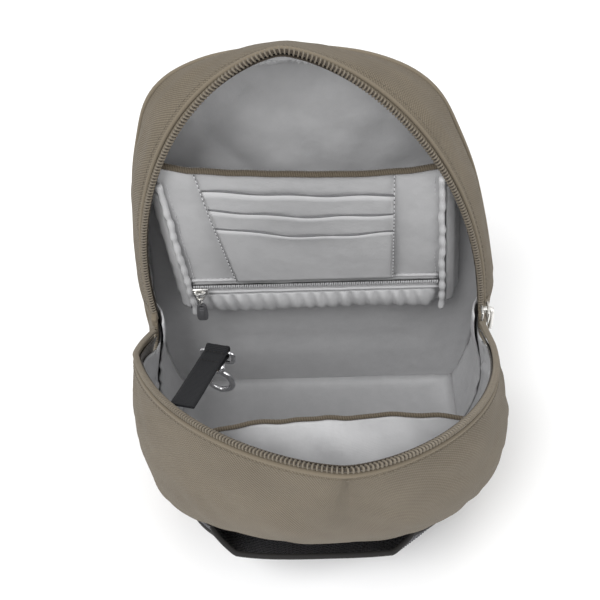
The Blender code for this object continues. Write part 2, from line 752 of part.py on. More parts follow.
def make_snap_hook(home, cutters, mats, across):
    """The metal that hangs from the strap's end, straight down."""
    down = Vector((0.0, 0.0, -1.0))
    side = Vector((across.x, across.y, 0.0)).normalized()
    half, drop, corner = 0.0082, 0.0075, 0.0022

    def ring_at(u, v):
        return LEASH_END + side * u + down * v

    ring = []
    for cu, cv, first in ((half - corner, corner, -90), (half - corner, drop - corner, 0),
                          (corner - half, drop - corner, 90), (corner - half, corner, 180)):
        for step in range(4):
            angle = math.radians(first + 30 * step)
            ring.append(ring_at(cu + corner * math.cos(angle), cv + corner * math.sin(angle)))
    eye = tube("swivel_eye", ring, 0.0011, mats["steel"], home)
    eye.data.splines[0].use_cyclic_u = True
    eye = as_mesh(eye)
    barrel_at = ring_at(0.0, drop + 0.0020)
    barrel = cylinder("eye_barrel", barrel_at, 0.0029, 0.0050, mats["steel"], home)
    bore = cylinder("barrel_bore", barrel_at + down * 0.0020, 0.0017, 0.0045,
                    mats["steel"], home)
    combine(eye, barrel, "UNION", cutters)
    combine(eye, bore, "DIFFERENCE", cutters)

    top = drop + 0.0036
    knots = [(0.0, top), (0.0, top + 0.0040), (0.0006, top + 0.0058), (0.0044, top + 0.0090),
             (0.0062, top + 0.0140), (0.0050, top + 0.0190), (0.0, top + 0.0216),
             (-0.0046, top + 0.0196), (-0.0058, top + 0.0166)]
    path = smooth_points([ring_at(u, v) for u, v in knots], 4)
    hook = as_mesh(tube("snap_hook", path, 0.0013, mats["steel"], home))
    collar = cylinder("hook_collar", ring_at(0.0, top + 0.0036), 0.0028, 0.0022,
                      mats["steel"], home)
    combine(hook, collar, "UNION", cutters)
    gate_top, gate_low = (-0.0030, top + 0.0064), (-0.0058, top + 0.0146)
    gate = tube("hook_gate", [ring_at(*gate_top), ring_at(-0.0046, top + 0.0100),
                              ring_at(*gate_low)], 0.0010, mats["steel"], home)
    return eye, hook, gate, ring_at(*gate_top)


def make_gathered_band(home, mats):
    """The gathered edge of the lining under the top of the back arch."""
    fine = gusset_rows(16)
    rows = strip([row[15:26] for row in fine], 0.0130, 0.0240, 2)
    sheet("gathered_band", inset(rows, LINING_IN + LINING + 0.0008), 0.0010,
          mats["lining"], home)


def main():
    """Build every piece of the bag."""
    clear_scene()
    parts = collection("day_bag")
    cutters = collection("cutters")
    mats = {
        "fabric": material("stone_fabric", FABRIC, 0.85),
        "lining": material("grey_lining", LINING_GREY, 0.6),
        "tape": material("zip_tape", BINDING, 0.8),
        "chain": material("zip_coil", BINDING, 0.5),
        "steel": material("nickel", STEEL, 0.25, 1.0),
        "black": material("black_webbing", BLACK, 0.8),
        "rubber": material("tab_rubber", TAB_GREY, 0.6),
        "binding": material("binding", BINDING, 0.8),
    }
    make_shell(parts, mats)
    make_root_lining(parts, mats)
    make_zip(parts, mats)
    make_flap(parts, mats)
    make_gathered_band(parts, mats)
    make_organiser(parts, mats)
    make_pocket_puller(parts, mats)
    make_slip_pocket(parts, mats)
    make_mesh_pocket(parts, mats)
    make_main_pull(parts, mats)
    make_leash(parts, cutters, mats)


main()
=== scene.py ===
"""Looks of a soft zip-around day bag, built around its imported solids.

Every piece is made in metres in the bag's own frame: the origin is under the middle of
the base, +Z is up and +Y is out of the back panel.
"""

from __future__ import annotations

import logging
import math
from dataclasses import dataclass, field
from enum import Enum
from typing import Callable, Iterable, Sequence

import bmesh
import bpy
from mathutils import Matrix, Vector, noise

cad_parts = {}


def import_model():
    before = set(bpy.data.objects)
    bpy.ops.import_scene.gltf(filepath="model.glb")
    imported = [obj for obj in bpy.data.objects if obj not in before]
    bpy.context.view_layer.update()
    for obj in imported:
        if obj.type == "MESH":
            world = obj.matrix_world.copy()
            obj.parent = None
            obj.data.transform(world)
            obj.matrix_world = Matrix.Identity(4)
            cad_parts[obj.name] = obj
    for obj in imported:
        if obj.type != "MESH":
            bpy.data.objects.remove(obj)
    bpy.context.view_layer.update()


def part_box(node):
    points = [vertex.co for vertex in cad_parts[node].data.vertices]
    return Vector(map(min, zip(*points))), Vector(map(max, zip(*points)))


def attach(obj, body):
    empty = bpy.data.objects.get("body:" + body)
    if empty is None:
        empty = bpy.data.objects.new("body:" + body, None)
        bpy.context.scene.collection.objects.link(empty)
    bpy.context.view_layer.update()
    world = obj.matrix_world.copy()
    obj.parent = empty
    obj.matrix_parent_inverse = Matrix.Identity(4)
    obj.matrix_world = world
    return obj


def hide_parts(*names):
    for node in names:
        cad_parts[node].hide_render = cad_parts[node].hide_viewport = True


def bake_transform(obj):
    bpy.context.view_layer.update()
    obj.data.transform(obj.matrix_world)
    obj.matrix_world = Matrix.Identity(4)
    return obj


LOG = logging.getLogger("day_bag")
Rows = list[list[Vector]]
Colour = tuple[float, float, float]


# ---- shader maths

class Socket:
    """A shader value that takes part in arithmetic."""

    def __init__(self, graph: Graph, link: bpy.types.NodeSocket) -> None:
        """Keep the graph and the output socket."""
        self.graph = graph
        self.link = link

    def _math(self, operation: str, *values: Socket | float) -> Socket:
        """The result of one Math node."""
        inputs = dict(enumerate(values))
        return self.graph.add("ShaderNodeMath", {"operation": operation}, inputs)

    def __add__(self, other: Socket | float) -> Socket:
        """Sum."""
        return self._math("ADD", self, other)

    def __radd__(self, other: float) -> Socket:
        """Sum, reflected."""
        return self._math("ADD", other, self)

    def __sub__(self, other: Socket | float) -> Socket:
        """Difference."""
        return self._math("SUBTRACT", self, other)

    def __rsub__(self, other: float) -> Socket:
        """Difference, reflected."""
        return self._math("SUBTRACT", other, self)

    def __mul__(self, other: Socket | float) -> Socket:
        """Product."""
        return self._math("MULTIPLY", self, other)

    def sine(self) -> Socket:
        """Sine of the value in radians."""
        return self._math("SINE", self)

    def clamped(self) -> Socket:
        """The value held between 0 and 1."""
        return self._math("MINIMUM", self._math("MAXIMUM", self, 0.0), 1.0)


class Graph:
    """A material's node tree with a Principled shader."""

    def __init__(self, name: str) -> None:
        """Start a new material.

        Args:
            name: the piece's name.
        """
        self.material = bpy.data.materials.new(name)
        self.material.use_nodes = True
        self.tree = self.material.node_tree
        self.shader = self.tree.nodes["Principled BSDF"]

    def add(self, kind: str, settings: dict[str, object],
            inputs: dict[int | str, object], output: int | str = 0) -> Socket:
        """Any node at all.

        Args:
            kind: the node's type.
            settings: its own properties, set first.
            inputs: values or sockets for its inputs.
            output: which output to return.

        Returns:
            The chosen output.
        """
        node = self.tree.nodes.new(kind)
        for key, value in settings.items():
            setattr(node, key, value)
        for key, value in inputs.items():
            self.put(node.inputs[key], value)
        return Socket(self, node.outputs[output])

    def put(self, target: bpy.types.NodeSocket, value: object) -> None:
        """Link a socket, or set a plain value.

        Args:
            target: the socket.
            value: a socket or a plain value.
        """
        if isinstance(value, Socket):
            self.tree.links.new(value.link, target)
        else:
            target.default_value = value

    def mix(self, share: Socket, low: Colour, high: Colour) -> Socket:
        """A blend of two colours, with the share of the second."""
        return self.add("ShaderNodeMix", {"data_type": "RGBA"},
                        {0: share, 6: (*low, 1.0), 7: (*high, 1.0)}, 2)

    def place(self, named: str) -> Socket:
        """A Texture Coordinate output, such as UV or Object."""
        return self.add("ShaderNodeTexCoord", {}, {}, named)

    def axes(self, vector: Socket) -> list[Socket]:
        """The three parts of a vector.

        Args:
            vector: the vector.

        Returns:
            The parts.
        """
        node = self.tree.nodes.new("ShaderNodeSeparateXYZ")
        self.put(node.inputs[0], vector)
        return [Socket(self, out) for out in node.outputs]

    def cloud(self, vector: Socket, scale: float, detail: float = 3.0,
              roughness: float = 0.55) -> Socket:
        """Soft noise between 0 and 1."""
        return self.add("ShaderNodeTexNoise", {}, {
            "Vector": vector, "Scale": scale, "Detail": detail, "Roughness": roughness})

    def bump(self, height: Socket, distance: float, strength: float = 1.0) -> None:
        """Feed a height in shares of a distance to the shader's normal."""
        normal = self.add("ShaderNodeBump", {}, {
            "Height": height, "Distance": distance, "Strength": strength})
        self.put(self.shader.inputs["Normal"], normal)

    def finish(self, constants: dict[str, object], **varying: object) -> bpy.types.Material:
        """Set the shader's plain and varying inputs.

        Args:
            constants: numbers and colours that are the same everywhere.
            varying: sockets, by input name with underscores for spaces.

        Returns:
            The finished material.
        """
        for key, value in constants.items():
            self.shader.inputs[key].default_value = value
        for key, value in varying.items():
            self.put(self.shader.inputs[key.replace("_", " ")], value)
        return self.material


TURN = 2.0 * math.pi


@dataclass(frozen=True)
class TwillFinish:
    """Fine twill, with threads that run diagonally and a faint mottle."""

    name: str
    light: Colour
    dark: Colour
    pitch: float = 0.0017
    roughness: float = 0.86
    relief: float = 0.00028

    def build(self) -> bpy.types.Material:
        """The twill as a material.

        Returns:
            The material.
        """
        graph = Graph(self.name)
        place = graph.place("UV")
        across, along, _ = graph.axes(place)
        wander = graph.cloud(place, 900.0, 2.0)
        rib = ((across + along) * (TURN / self.pitch) + wander * 1.6).sine() * 0.5 + 0.5
        cross = ((across - along * 0.55) * (TURN / (self.pitch * 0.8))).sine() * 0.5 + 0.5
        thread = rib * 0.7 + cross * 0.3
        mottle = graph.cloud(place, 26.0, 5.0, 0.6)
        fleck = graph.cloud(place, 2400.0, 1.0)
        share = (thread * 0.62 + mottle * 0.34 + fleck * 0.3 - 0.12).clamped()
        colour = graph.mix(share, self.dark, self.light)
        graph.bump(thread * 0.8 + fleck * 0.4, self.relief)
        return graph.finish({"Sheen Weight": 0.05, "Sheen Roughness": 0.5,
                             "Specular IOR Level": 0.15},
                            Base_Color=colour, Roughness=self.roughness - mottle * 0.08)


@dataclass(frozen=True)
class SatinFinish:
    """Thin lining with a soft shine, a tight plain weave and painted shade in the hollows
    of its creases.
    """

    name: str
    light: Colour
    dark: Colour
    roughness: float = 0.46
    pitch: float = 0.0005

    def build(self) -> bpy.types.Material:
        """The lining as a material.

        Returns:
            The material.
        """
        graph = Graph(self.name)
        place = graph.place("UV")
        across, along, _ = graph.axes(place)
        warp = (across * (TURN / self.pitch)).sine() * 0.5 + 0.5
        weft = (along * (TURN / (self.pitch * 1.25))).sine() * 0.5 + 0.5
        soft = graph.cloud(place, 34.0, 4.0, 0.6)
        crease = graph.cloud(place, 160.0, 3.0, 0.5)
        # The crease noise also sets the colour: lighter on raised creases and darker in
        # their hollows, a painted shade.
        share = (soft * 0.55 + warp * weft * 0.2 + crease * 0.35).clamped()
        colour = graph.mix(share, self.dark, self.light)
        graph.bump(crease * 0.8 + warp * 0.08 + weft * 0.08, 0.0007, 0.55)
        return graph.finish({"Sheen Weight": 0.12, "Sheen Roughness": 0.35,
                             "Specular IOR Level": 0.42},
                            Base_Color=colour, Roughness=self.roughness + soft * 0.16)


@dataclass(frozen=True)
class RibbedFinish:
    """Narrow tape with ribs across its length."""

    name: str
    light: Colour
    dark: Colour
    pitch: float = 0.0011
    roughness: float = 0.8
    source: str = "Object"

    def build(self) -> bpy.types.Material:
        """The tape as a material.

        Returns:
            The material.
        """
        graph = Graph(self.name)
        place = graph.place(self.source)
        across, along, up = graph.axes(place)
        rib = ((across + along * 0.2 + up * 0.1) * (TURN / self.pitch)).sine() * 0.5 + 0.5
        fuzz = graph.cloud(place, 1500.0, 2.0)
        share = (rib * 0.6 + fuzz * 0.5 - 0.05).clamped()
        graph.bump(rib + fuzz * 0.4, 0.00018)
        return graph.finish({"Sheen Weight": 0.2, "Specular IOR Level": 0.3},
                            Base_Color=graph.mix(share, self.dark, self.light),
                            Roughness=self.roughness - fuzz * 0.1)


@dataclass(frozen=True)
class PlasticFinish:
    """Smooth moulded plastic with faint handling marks."""

    name: str
    colour: Colour
    worn: Colour
    roughness: float = 0.38
    shine: float = 0.4

    def build(self) -> bpy.types.Material:
        """The plastic as a material.

        Returns:
            The material.
        """
        graph = Graph(self.name)
        place = graph.place("Object")
        rubbed = graph.cloud(place, 240.0, 4.0, 0.6)
        fine = graph.cloud(place, 1900.0, 2.0)
        graph.bump(fine, 0.00004, 0.6)
        return graph.finish({"Specular IOR Level": self.shine},
                            Base_Color=graph.mix(rubbed, self.colour, self.worn),
                            Roughness=self.roughness + rubbed * 0.2)


@dataclass(frozen=True)
class MetalFinish:
    """Plated metal, bright with fine scuffs."""

    name: str
    bright: Colour = (0.8, 0.8, 0.81)
    dull: Colour = (0.56, 0.56, 0.58)
    roughness: float = 0.16

    def build(self) -> bpy.types.Material:
        """The plating as a material.

        Returns:
            The material.
        """
        graph = Graph(self.name)
        place = graph.place("Object")
        tarnish = graph.cloud(place, 190.0, 4.0, 0.65)
        scuff = graph.cloud(place, 1300.0, 3.0)
        graph.bump(scuff, 0.00003, 0.5)
        return graph.finish({"Metallic": 1.0, "Coat Roughness": 0.1},
                            Base_Color=graph.mix(tarnish, self.dull, self.bright),
                            Roughness=self.roughness + tarnish * 0.16)


@dataclass(frozen=True)
class WebbingFinish:
    """Woven strap or mesh, with chevron ridges and dark gaps between them; on the black
    mesh the lighter ridges are a painted highlight.
    """

    name: str
    light: Colour
    dark: Colour
    pitch: float = 0.0012
    relief: float = 0.00022
    roughness: float = 0.62

    def build(self) -> bpy.types.Material:
        """The weave as a material.

        Returns:
            The material.
        """
        graph = Graph(self.name)
        place = graph.place("UV")
        across, along, _ = graph.axes(place)
        column = (across * (TURN / self.pitch)).sine()
        row = (along * (TURN / (self.pitch * 0.85)) + column * 1.2).sine()
        knot = (column * row * 0.5 + 0.5).clamped()
        fuzz = graph.cloud(place, 1400.0, 2.0)
        # The light colour goes on the knots; for the black mesh it is a painted highlight.
        share = (knot * 0.75 + fuzz * 0.5 - 0.2).clamped()
        graph.bump(knot + fuzz * 0.3, self.relief)
        return graph.finish({"Sheen Weight": 0.03, "Specular IOR Level": 0.18},
                            Base_Color=graph.mix(share, self.dark, self.light),
                            Roughness=self.roughness + fuzz * 0.15)


class Dye(Enum):
    """Every finish on the bag, by what it is used for."""

    TWILL = TwillFinish("stone_twill", (0.228, 0.192, 0.142), (0.052, 0.043, 0.031))
    TAPE_LIGHT = TwillFinish("zip_edge_twill", (0.205, 0.172, 0.128), (0.108, 0.09, 0.066))
    SATIN = SatinFinish("grey_satin", (0.53, 0.53, 0.535), (0.36, 0.36, 0.368))
    # A lighter copy of the grey lining satin: painted light for the shine the satin catches
    # on the organiser's sides, piping and zip tapes, and on the slip pocket's side piping.
    SATIN_PAINTED_LIGHT = SatinFinish("satin_painted_lighter", (0.66, 0.66, 0.665), (0.42, 0.42, 0.428), 0.5)
    TAPE = RibbedFinish("zip_tape_brown", (0.06, 0.046, 0.031), (0.024, 0.018, 0.012))
    COIL = PlasticFinish("coil_stone", (0.118, 0.099, 0.074), (0.175, 0.15, 0.115), 0.4)
    COIL_GREY = PlasticFinish("coil_grey", (0.42, 0.42, 0.425), (0.52, 0.52, 0.53))
    BINDING = RibbedFinish("ribbed_binding", (0.118, 0.094, 0.064), (0.04, 0.031, 0.02))
    THREAD = PlasticFinish("stone_thread", (0.17, 0.145, 0.11), (0.12, 0.102, 0.078), 0.7)
    # Near-black colour for painted shade: the grooves by the card slots' stitch lines and
    # the dark inside their mouths.
    SHADE_PAINT = PlasticFinish("painted_shade", (0.1, 0.1, 0.105), (0.17, 0.17, 0.175), 0.8)
    THREAD_GREY = PlasticFinish("grey_thread", (0.45, 0.45, 0.46), (0.6, 0.6, 0.61), 0.7)
    NICKEL = MetalFinish("nickel_plate")
    PALE_METAL = MetalFinish("pale_plate", (0.88, 0.87, 0.84), (0.7, 0.69, 0.67), 0.26)
    RUBBER = PlasticFinish("tab_rubber", (0.06, 0.06, 0.064), (0.105, 0.105, 0.11), 0.5)
    WEBBING = WebbingFinish("black_webbing", (0.02, 0.021, 0.024), (0.005, 0.005, 0.006),
                            0.0014)
    # Black mesh: the light grey on its knots is a painted highlight on the crests of black
    # yarn.
    MESH = WebbingFinish("black_mesh_painted_highlight", (0.3, 0.3, 0.322), (0.003, 0.003, 0.004),
                         0.0023, 0.0007)
    MESH_EDGE = WebbingFinish("mesh_edge", (0.03, 0.028, 0.027), (0.01, 0.01, 0.01),
                              0.001)


class Dyer:
    """Builds each finish once."""

    def __init__(self) -> None:
        """Start with nothing built."""
        self._made: dict[Dye, bpy.types.Material] = {}

    def get(self, dye: Dye) -> bpy.types.Material:
        """The material of a finish.

        Args:
            dye: the finish.

        Returns:
            The material.
        """
        if dye not in self._made:
            self._made[dye] = dye.value.build()
        return self._made[dye]


# ---- point helpers

def smoothstep(value: float) -> float:
    """A soft rise from 0 to 1."""
    value = min(max(value, 0.0), 1.0)
    return value * value * (3.0 - 2.0 * value)


def ripple(across: float, along: float, seed: float) -> float:
    """Soft noise from about -1 to 1 that never changes between runs."""
    return noise.noise(Vector((across, along, seed)))


def run_length(points: Sequence[Vector]) -> float:
    """The length of a run of points."""
    return sum((b - a).length for a, b in zip(points, points[1:]))


def walk(points: Sequence[Vector], reach: float) -> Vector:
    """The place a given distance along a run of points.

    Args:
        points: the points.
        reach: how far along.

    Returns:
        The place.
    """
    for a, b in zip(points, points[1:]):
        step = (b - a).length
        if reach <= step:
            return a.lerp(b, reach / max(step, 1e-9))
        reach -= step
    return points[-1].copy()


def resample(points: Sequence[Vector], count: int) -> list[Vector]:
    """The same run of points, spaced evenly."""
    total = run_length(points) * 0.999999
    return [walk(points, total * i / count) for i in range(count + 1)]


def smooth_run(knots: Sequence[Vector], per_span: int) -> list[Vector]:
    """A Catmull-Rom curve through the knots, ends included.

    Args:
        knots: the knots.
        per_span: steps between two knots.

    Returns:
        The curve.
    """
    ends = [2 * knots[0] - knots[1], *knots, 2 * knots[-1] - knots[-2]]
    out = []
    for i in range(1, len(ends) - 2):
        p0, p1, p2, p3 = ends[i - 1:i + 3]
        for step in range(per_span):
            t = step / per_span
            out.append(0.5 * ((2 * p1) + (p2 - p0) * t
                              + (2 * p0 - 5 * p1 + 4 * p2 - p3) * t * t
                              + (3 * p1 - p0 - 3 * p2 + p3) * t ** 3))
    out.append(knots[-1].copy())
    return out


def lattice(across: int, up: int, point: Callable[[float, float], Vector]) -> Rows:
    """Rows of points, each from its shares across and up the cloth."""
    return [[point(c / across, r / up) for c in range(across + 1)] for r in range(up + 1)]


def grid_normals(rows: Rows) -> Rows:
    """Unit normals of a grid, outward where columns cross levels.

    Args:
        rows: the grid, level by level.

    Returns:
        The normals, in the same order.
    """
    normals = []
    for r, row in enumerate(rows):
        below, above = rows[max(r - 1, 0)], rows[min(r + 1, len(rows) - 1)]
        line = []
        for c in range(len(row)):
            along = row[min(c + 1, len(row) - 1)] - row[max(c - 1, 0)]
            line.append(along.cross(above[c] - below[c]).normalized())
        normals.append(line)
    return normals


def push(rows: Rows, depth: Callable[[float, float], float]) -> Rows:
    """A grid moved along its normals, by a depth from shares across and up it."""
    wide, high = len(rows[0]) - 1, len(rows) - 1
    return [[p + n * depth(c / wide, r / high)
             for c, (p, n) in enumerate(zip(row, line))]
            for r, (row, line) in enumerate(zip(rows, grid_normals(rows)))]


def inset(rows: Rows, depth: float) -> Rows:
    """A grid moved inward by a depth."""
    return push(rows, lambda u, v: -depth)


def ring_faces(rings: int, sides: int, closed: bool = False) -> list[tuple[int, ...]]:
    """Faces between rings of points that follow each other.

    Args:
        rings: how many rings.
        sides: points in a ring.
        closed: whether the last ring meets the first.

    Returns:
        The faces, as indices.
    """
    faces = []
    for i in range(rings if closed else rings - 1):
        j = (i + 1) % rings
        for s in range(sides):
            t = (s + 1) % sides
            faces.append((i * sides + s, i * sides + t, j * sides + t, j * sides + s))
    return faces


def end_faces(rings: int, sides: int) -> list[tuple[int, ...]]:
    """The faces that close the first and last ring."""
    return [tuple(range(sides))[::-1], tuple((rings - 1) * sides + s for s in range(sides))]


def marks(points: Sequence[Vector]) -> list[float]:
    """How far along a run each of its points is.

    Args:
        points: the points.

    Returns:
        The distances, from 0.
    """
    reach = [0.0]
    for a, b in zip(points, points[1:]):
        reach.append(reach[-1] + (b - a).length)
    return reach


def squared(angle: float, power: float) -> tuple[float, float]:
    """The cosine and sine of an angle, pushed out to a rounded square."""
    return tuple(math.copysign(abs(v) ** power, v)
                 for v in (math.cos(angle), math.sin(angle)))


def put_in_scene(name: str, data: bpy.types.ID) -> bpy.types.Object:
    """A new object in the scene, from its mesh, lamp or camera data.

    Args:
        name: the object's name.
        data: what it shows.

    Returns:
        The object.
    """
    item = bpy.data.objects.new(name, data)
    bpy.context.scene.collection.objects.link(item)
    return item


def middle_of(node: str) -> tuple[Vector, Vector]:
    """The middle and half size of one of the frame's nodes."""
    low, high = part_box(node)
    return (low + high) / 2, (high - low) / 2


# ---- mesh helpers

class Workshop:
    """Makes mesh pieces and gives them their finish."""

    def __init__(self, dyer: Dyer) -> None:
        """Keep the finishes."""
        self.dyer = dyer

    def mesh(self, name: str, points: Sequence[Vector], faces: Sequence[Sequence[int]],
             dye: Dye, smooth: bool = True) -> bpy.types.Object:
        """An object from points and faces.

        Args:
            name: the piece's name.
            points: the points.
            faces: the faces, as indices.
            dye: the finish.
            smooth: whether it is shaded smooth.

        Returns:
            The new object.
        """
        data = bpy.data.meshes.new(name)
        data.from_pydata([tuple(p) for p in points], [], [tuple(f) for f in faces])
        data.update()
        data.materials.append(self.dyer.get(dye))
        if smooth:
            data.shade_smooth()
        return put_in_scene(name, data)

    def grid(self, name: str, rows: Rows, dye: Dye, thickness: float,
             offset: float = -1.0) -> bpy.types.Object:
        """A sheet of cloth from a grid of points, with its UV map in metres.

        Args:
            name: the piece's name.
            rows: the points, level by level.
            dye: the finish.
            thickness: how thick the cloth is.
            offset: which side the thickness goes, as in Solidify.

        Returns:
            The new object.
        """
        wide, high = len(rows[0]), len(rows)
        faces = [(k, k + 1, k + wide + 1, k + wide)
                 for k in (r * wide + c for r in range(high - 1) for c in range(wide - 1))]
        item = self.mesh(name, [p for row in rows for p in row], faces, dye)
        across = marks(rows[high // 2])
        up = marks([row[wide // 2] for row in rows])
        layer = item.data.uv_layers.new(name="cloth")
        for loop in item.data.loops:
            r, c = divmod(loop.vertex_index, wide)
            layer.data[loop.index].uv = (across[c], up[r])
        self.reshape(item, lambda build: bmesh.ops.remove_doubles(
            build, verts=build.verts, dist=2e-6))
        solid = item.modifiers.new("thickness", "SOLIDIFY")
        solid.thickness = thickness
        solid.offset = offset
        self.settle(item)
        return item

    def reshape(self, item: bpy.types.Object, step: Callable[[bmesh.types.BMesh], object]
                ) -> None:
        """Run one step on a piece's mesh.

        Args:
            item: the piece.
            step: what is done to the open mesh.
        """
        build = bmesh.new()
        build.from_mesh(item.data)
        step(build)
        build.to_mesh(item.data)
        build.free()

    def outward(self, item: bpy.types.Object) -> None:
        """Turn every face of a closed mesh outward."""
        self.reshape(item, lambda build: bmesh.ops.recalc_face_normals(
            build, faces=build.faces))

    def soften(self, item: bpy.types.Object, bevel: float) -> None:
        """Round a solid piece's edges.

        Args:
            item: the piece.
            bevel: the width of the rounding.
        """
        edge = item.modifiers.new("edges", "BEVEL")
        edge.width = bevel
        edge.segments = 3
        edge.limit_method = "ANGLE"
        self.settle(item)
        item.data.set_sharp_from_angle(angle=math.radians(40))

    def settle(self, item: bpy.types.Object) -> None:
        """Apply an object's modifiers to its mesh.

        Args:
            item: the piece.
        """
        bpy.context.view_layer.update()
        graph = bpy.context.evaluated_depsgraph_get()
        made = bpy.data.meshes.new_from_object(item.evaluated_get(graph))
        item.modifiers.clear()
        item.data = made

    def tube(self, name: str, points: Sequence[Vector], radius: float | Sequence[float],
             dye: Dye, sides: int = 10, closed: bool = False,
             flatten: float = 1.0) -> bpy.types.Object:
        """A round cord along points.

        Args:
            name: the piece's name.
            points: its centre line.
            radius: one radius, or one for each point.
            dye: the finish.
            sides: faces round the cord.
            closed: whether the ends meet.
            flatten: height of the section against its width.

        Returns:
            The new object.
        """
        radii = [radius] * len(points) if isinstance(radius, float) else list(radius)
        verts = []
        count = len(points)
        side = None
        for i, here in enumerate(points):
            ahead = points[(i + 1) % count] if closed else points[min(i + 1, count - 1)]
            behind = points[(i - 1) % count] if closed else points[max(i - 1, 0)]
            tangent = (ahead - behind).normalized()
            guess = side if side is not None else Vector((0.13, 0.21, 0.97))
            side = (guess - tangent * guess.dot(tangent)).normalized()
            other = tangent.cross(side)
            for s in range(sides):
                angle = TURN * s / sides
                verts.append(here + (side * math.cos(angle) * flatten
                                     + other * math.sin(angle)) * radii[i])
        faces = ring_faces(count, sides, closed)
        faces += [] if closed else end_faces(count, sides)
        return self.mesh(name, verts, faces, dye)

    def ribbon(self, name: str, points: Sequence[Vector], across: Vector, width: float,
               thickness: float, dye: Dye) -> bpy.types.Object:
        """A flat strap that follows a line, with rounded edges and slightly raised borders.

        Args:
            name: the piece's name.
            points: the points.
            across: the direction or place across.
            width: its width.
            thickness: its thickness.
            dye: the finish.

        Returns:
            The new object.
        """
        profile = [(-0.5, 0.0), (-0.47, 0.5), (-0.38, 0.62), (-0.3, 0.5), (0.0, 0.5),
                   (0.3, 0.5), (0.38, 0.62), (0.47, 0.5), (0.5, 0.0), (0.47, -0.5),
                   (0.3, -0.5), (0.0, -0.5), (-0.3, -0.5), (-0.47, -0.5)]
        verts, uvs = [], []
        reach, last = 0.0, len(points) - 1
        for i, here in enumerate(points):
            tangent = (points[min(i + 1, last)] - points[max(i - 1, 0)]).normalized()
            face = across.cross(tangent).normalized()
            reach += (here - points[i - 1]).length if i else 0.0
            for u, v in profile:
                verts.append(here + across * (u * width) + face * (v * thickness))
                uvs.append((u * width, reach))
        sides = len(profile)
        faces = ring_faces(len(points), sides) + end_faces(len(points), sides)
        item = self.mesh(name, verts, faces, dye)
        layer = item.data.uv_layers.new(name="cloth")
        for loop in item.data.loops:
            layer.data[loop.index].uv = uvs[loop.vertex_index]
        bpy.context.view_layer.update()
        self.outward(item)
        item.data.set_sharp_from_angle(angle=math.radians(50))
        return item

    def beads(self, name: str, spots: Iterable[tuple[Vector, Matrix]], size: Vector,
              dye: Dye, segments: int = 8, rings: int = 5,
              power: float = 0.6) -> bpy.types.Object:
        """Many small rounded bars in one mesh, such as teeth or stitches.

        Args:
            name: the piece's name.
            spots: the centre and the axes of each bar.
            size: the bar's half lengths along its axes.
            dye: the finish.
            segments: faces round a bar.
            rings: levels along a bar.
            power: below 1 makes the bar squarer.

        Returns:
            The new object.
        """
        shape = []
        for r in range(1, rings):
            tilt = math.pi * r / rings
            for s in range(segments):
                angle = TURN * s / segments
                raw = (math.cos(tilt), math.sin(tilt) * math.cos(angle),
                       math.sin(tilt) * math.sin(angle))
                shape.append(Vector([math.copysign(abs(v) ** power, v) for v in raw]))
        shape += [Vector((1, 0, 0)), Vector((-1, 0, 0))]
        local = ring_faces(rings - 1, segments)
        top, low, last = len(shape) - 2, len(shape) - 1, (rings - 2) * segments
        for s in range(segments):
            t = (s + 1) % segments
            local.append((top, t, s))
            local.append((low, last + s, last + t))
        verts, faces = [], []
        for centre, axes in spots:
            start = len(verts)
            verts += [centre + axes @ Vector((p.x * size.x, p.y * size.y, p.z * size.z))
                      for p in shape]
            faces += [tuple(start + k for k in face) for face in local]
        item = self.mesh(name, verts, faces, dye)
        self.outward(item)
        return item

    def plate(self, name: str, outline: Sequence[Vector], hole: Sequence[Vector],
              depth: Vector, dye: Dye, bevel: float) -> bpy.types.Object:
        """A flat plate with a hole, from two loops with as many points as each other.

        Args:
            name: the piece's name.
            outline: the outer edge.
            hole: the edge of its hole.
            depth: the step to its other face.
            dye: the finish.
            bevel: the width of its rounded edges.

        Returns:
            The new object.
        """
        loops = [outline, hole, [p + depth for p in hole], [p + depth for p in outline]]
        item = self.mesh(name, [p for loop in loops for p in loop],
                         ring_faces(4, len(outline), True), dye)
        self.outward(item)
        self.soften(item, bevel)
        return item

    def block(self, name: str, centre: Vector, size: Vector, dye: Dye, bevel: float
              ) -> bpy.types.Object:
        """A box with well rounded edges, used inside small hardware.

        Args:
            name: the piece's name.
            centre: its middle.
            size: its size along each axis.
            dye: the finish.
            bevel: the width of its rounded edges.

        Returns:
            The new object.
        """
        build = bmesh.new()
        bmesh.ops.create_cube(build, size=1.0)
        bmesh.ops.subdivide_edges(build, edges=build.edges, cuts=1, use_grid_fill=True)
        verts = [centre + Vector((v.co.x * size.x, v.co.y * size.y, v.co.z * size.z))
                 for v in build.verts]
        faces = [[v.index for v in f.verts] for f in build.faces]
        build.free()
        item = self.mesh(name, verts, faces, dye)
        self.soften(item, bevel)
        return item

    def join(self, name: str, items: Sequence[bpy.types.Object]) -> bpy.types.Object:
        """Several meshes as one object, each face keeping its finish.

        Args:
            name: the piece's name.
            items: the pieces to join.

        Returns:
            The joined piece.
        """
        slots: list[bpy.types.Material] = []
        verts, faces, kinds = [], [], []
        for item in items:
            start = len(verts)
            verts += [item.matrix_world @ v.co for v in item.data.vertices]
            mat = item.data.materials[0]
            if mat not in slots:
                slots.append(mat)
            for face in item.data.polygons:
                faces.append(tuple(start + k for k in face.vertices))
                kinds.append((slots.index(mat), face.use_smooth))
            bpy.data.objects.remove(item)
        data = bpy.data.meshes.new(name)
        data.from_pydata([tuple(v) for v in verts], [], faces)
        data.update()
        for mat in slots:
            data.materials.append(mat)
        for face, (kind, smooth) in zip(data.polygons, kinds):
            face.material_index = kind
            face.use_smooth = smooth
        data.set_sharp_from_angle(angle=math.radians(42))
        return put_in_scene(name, data)

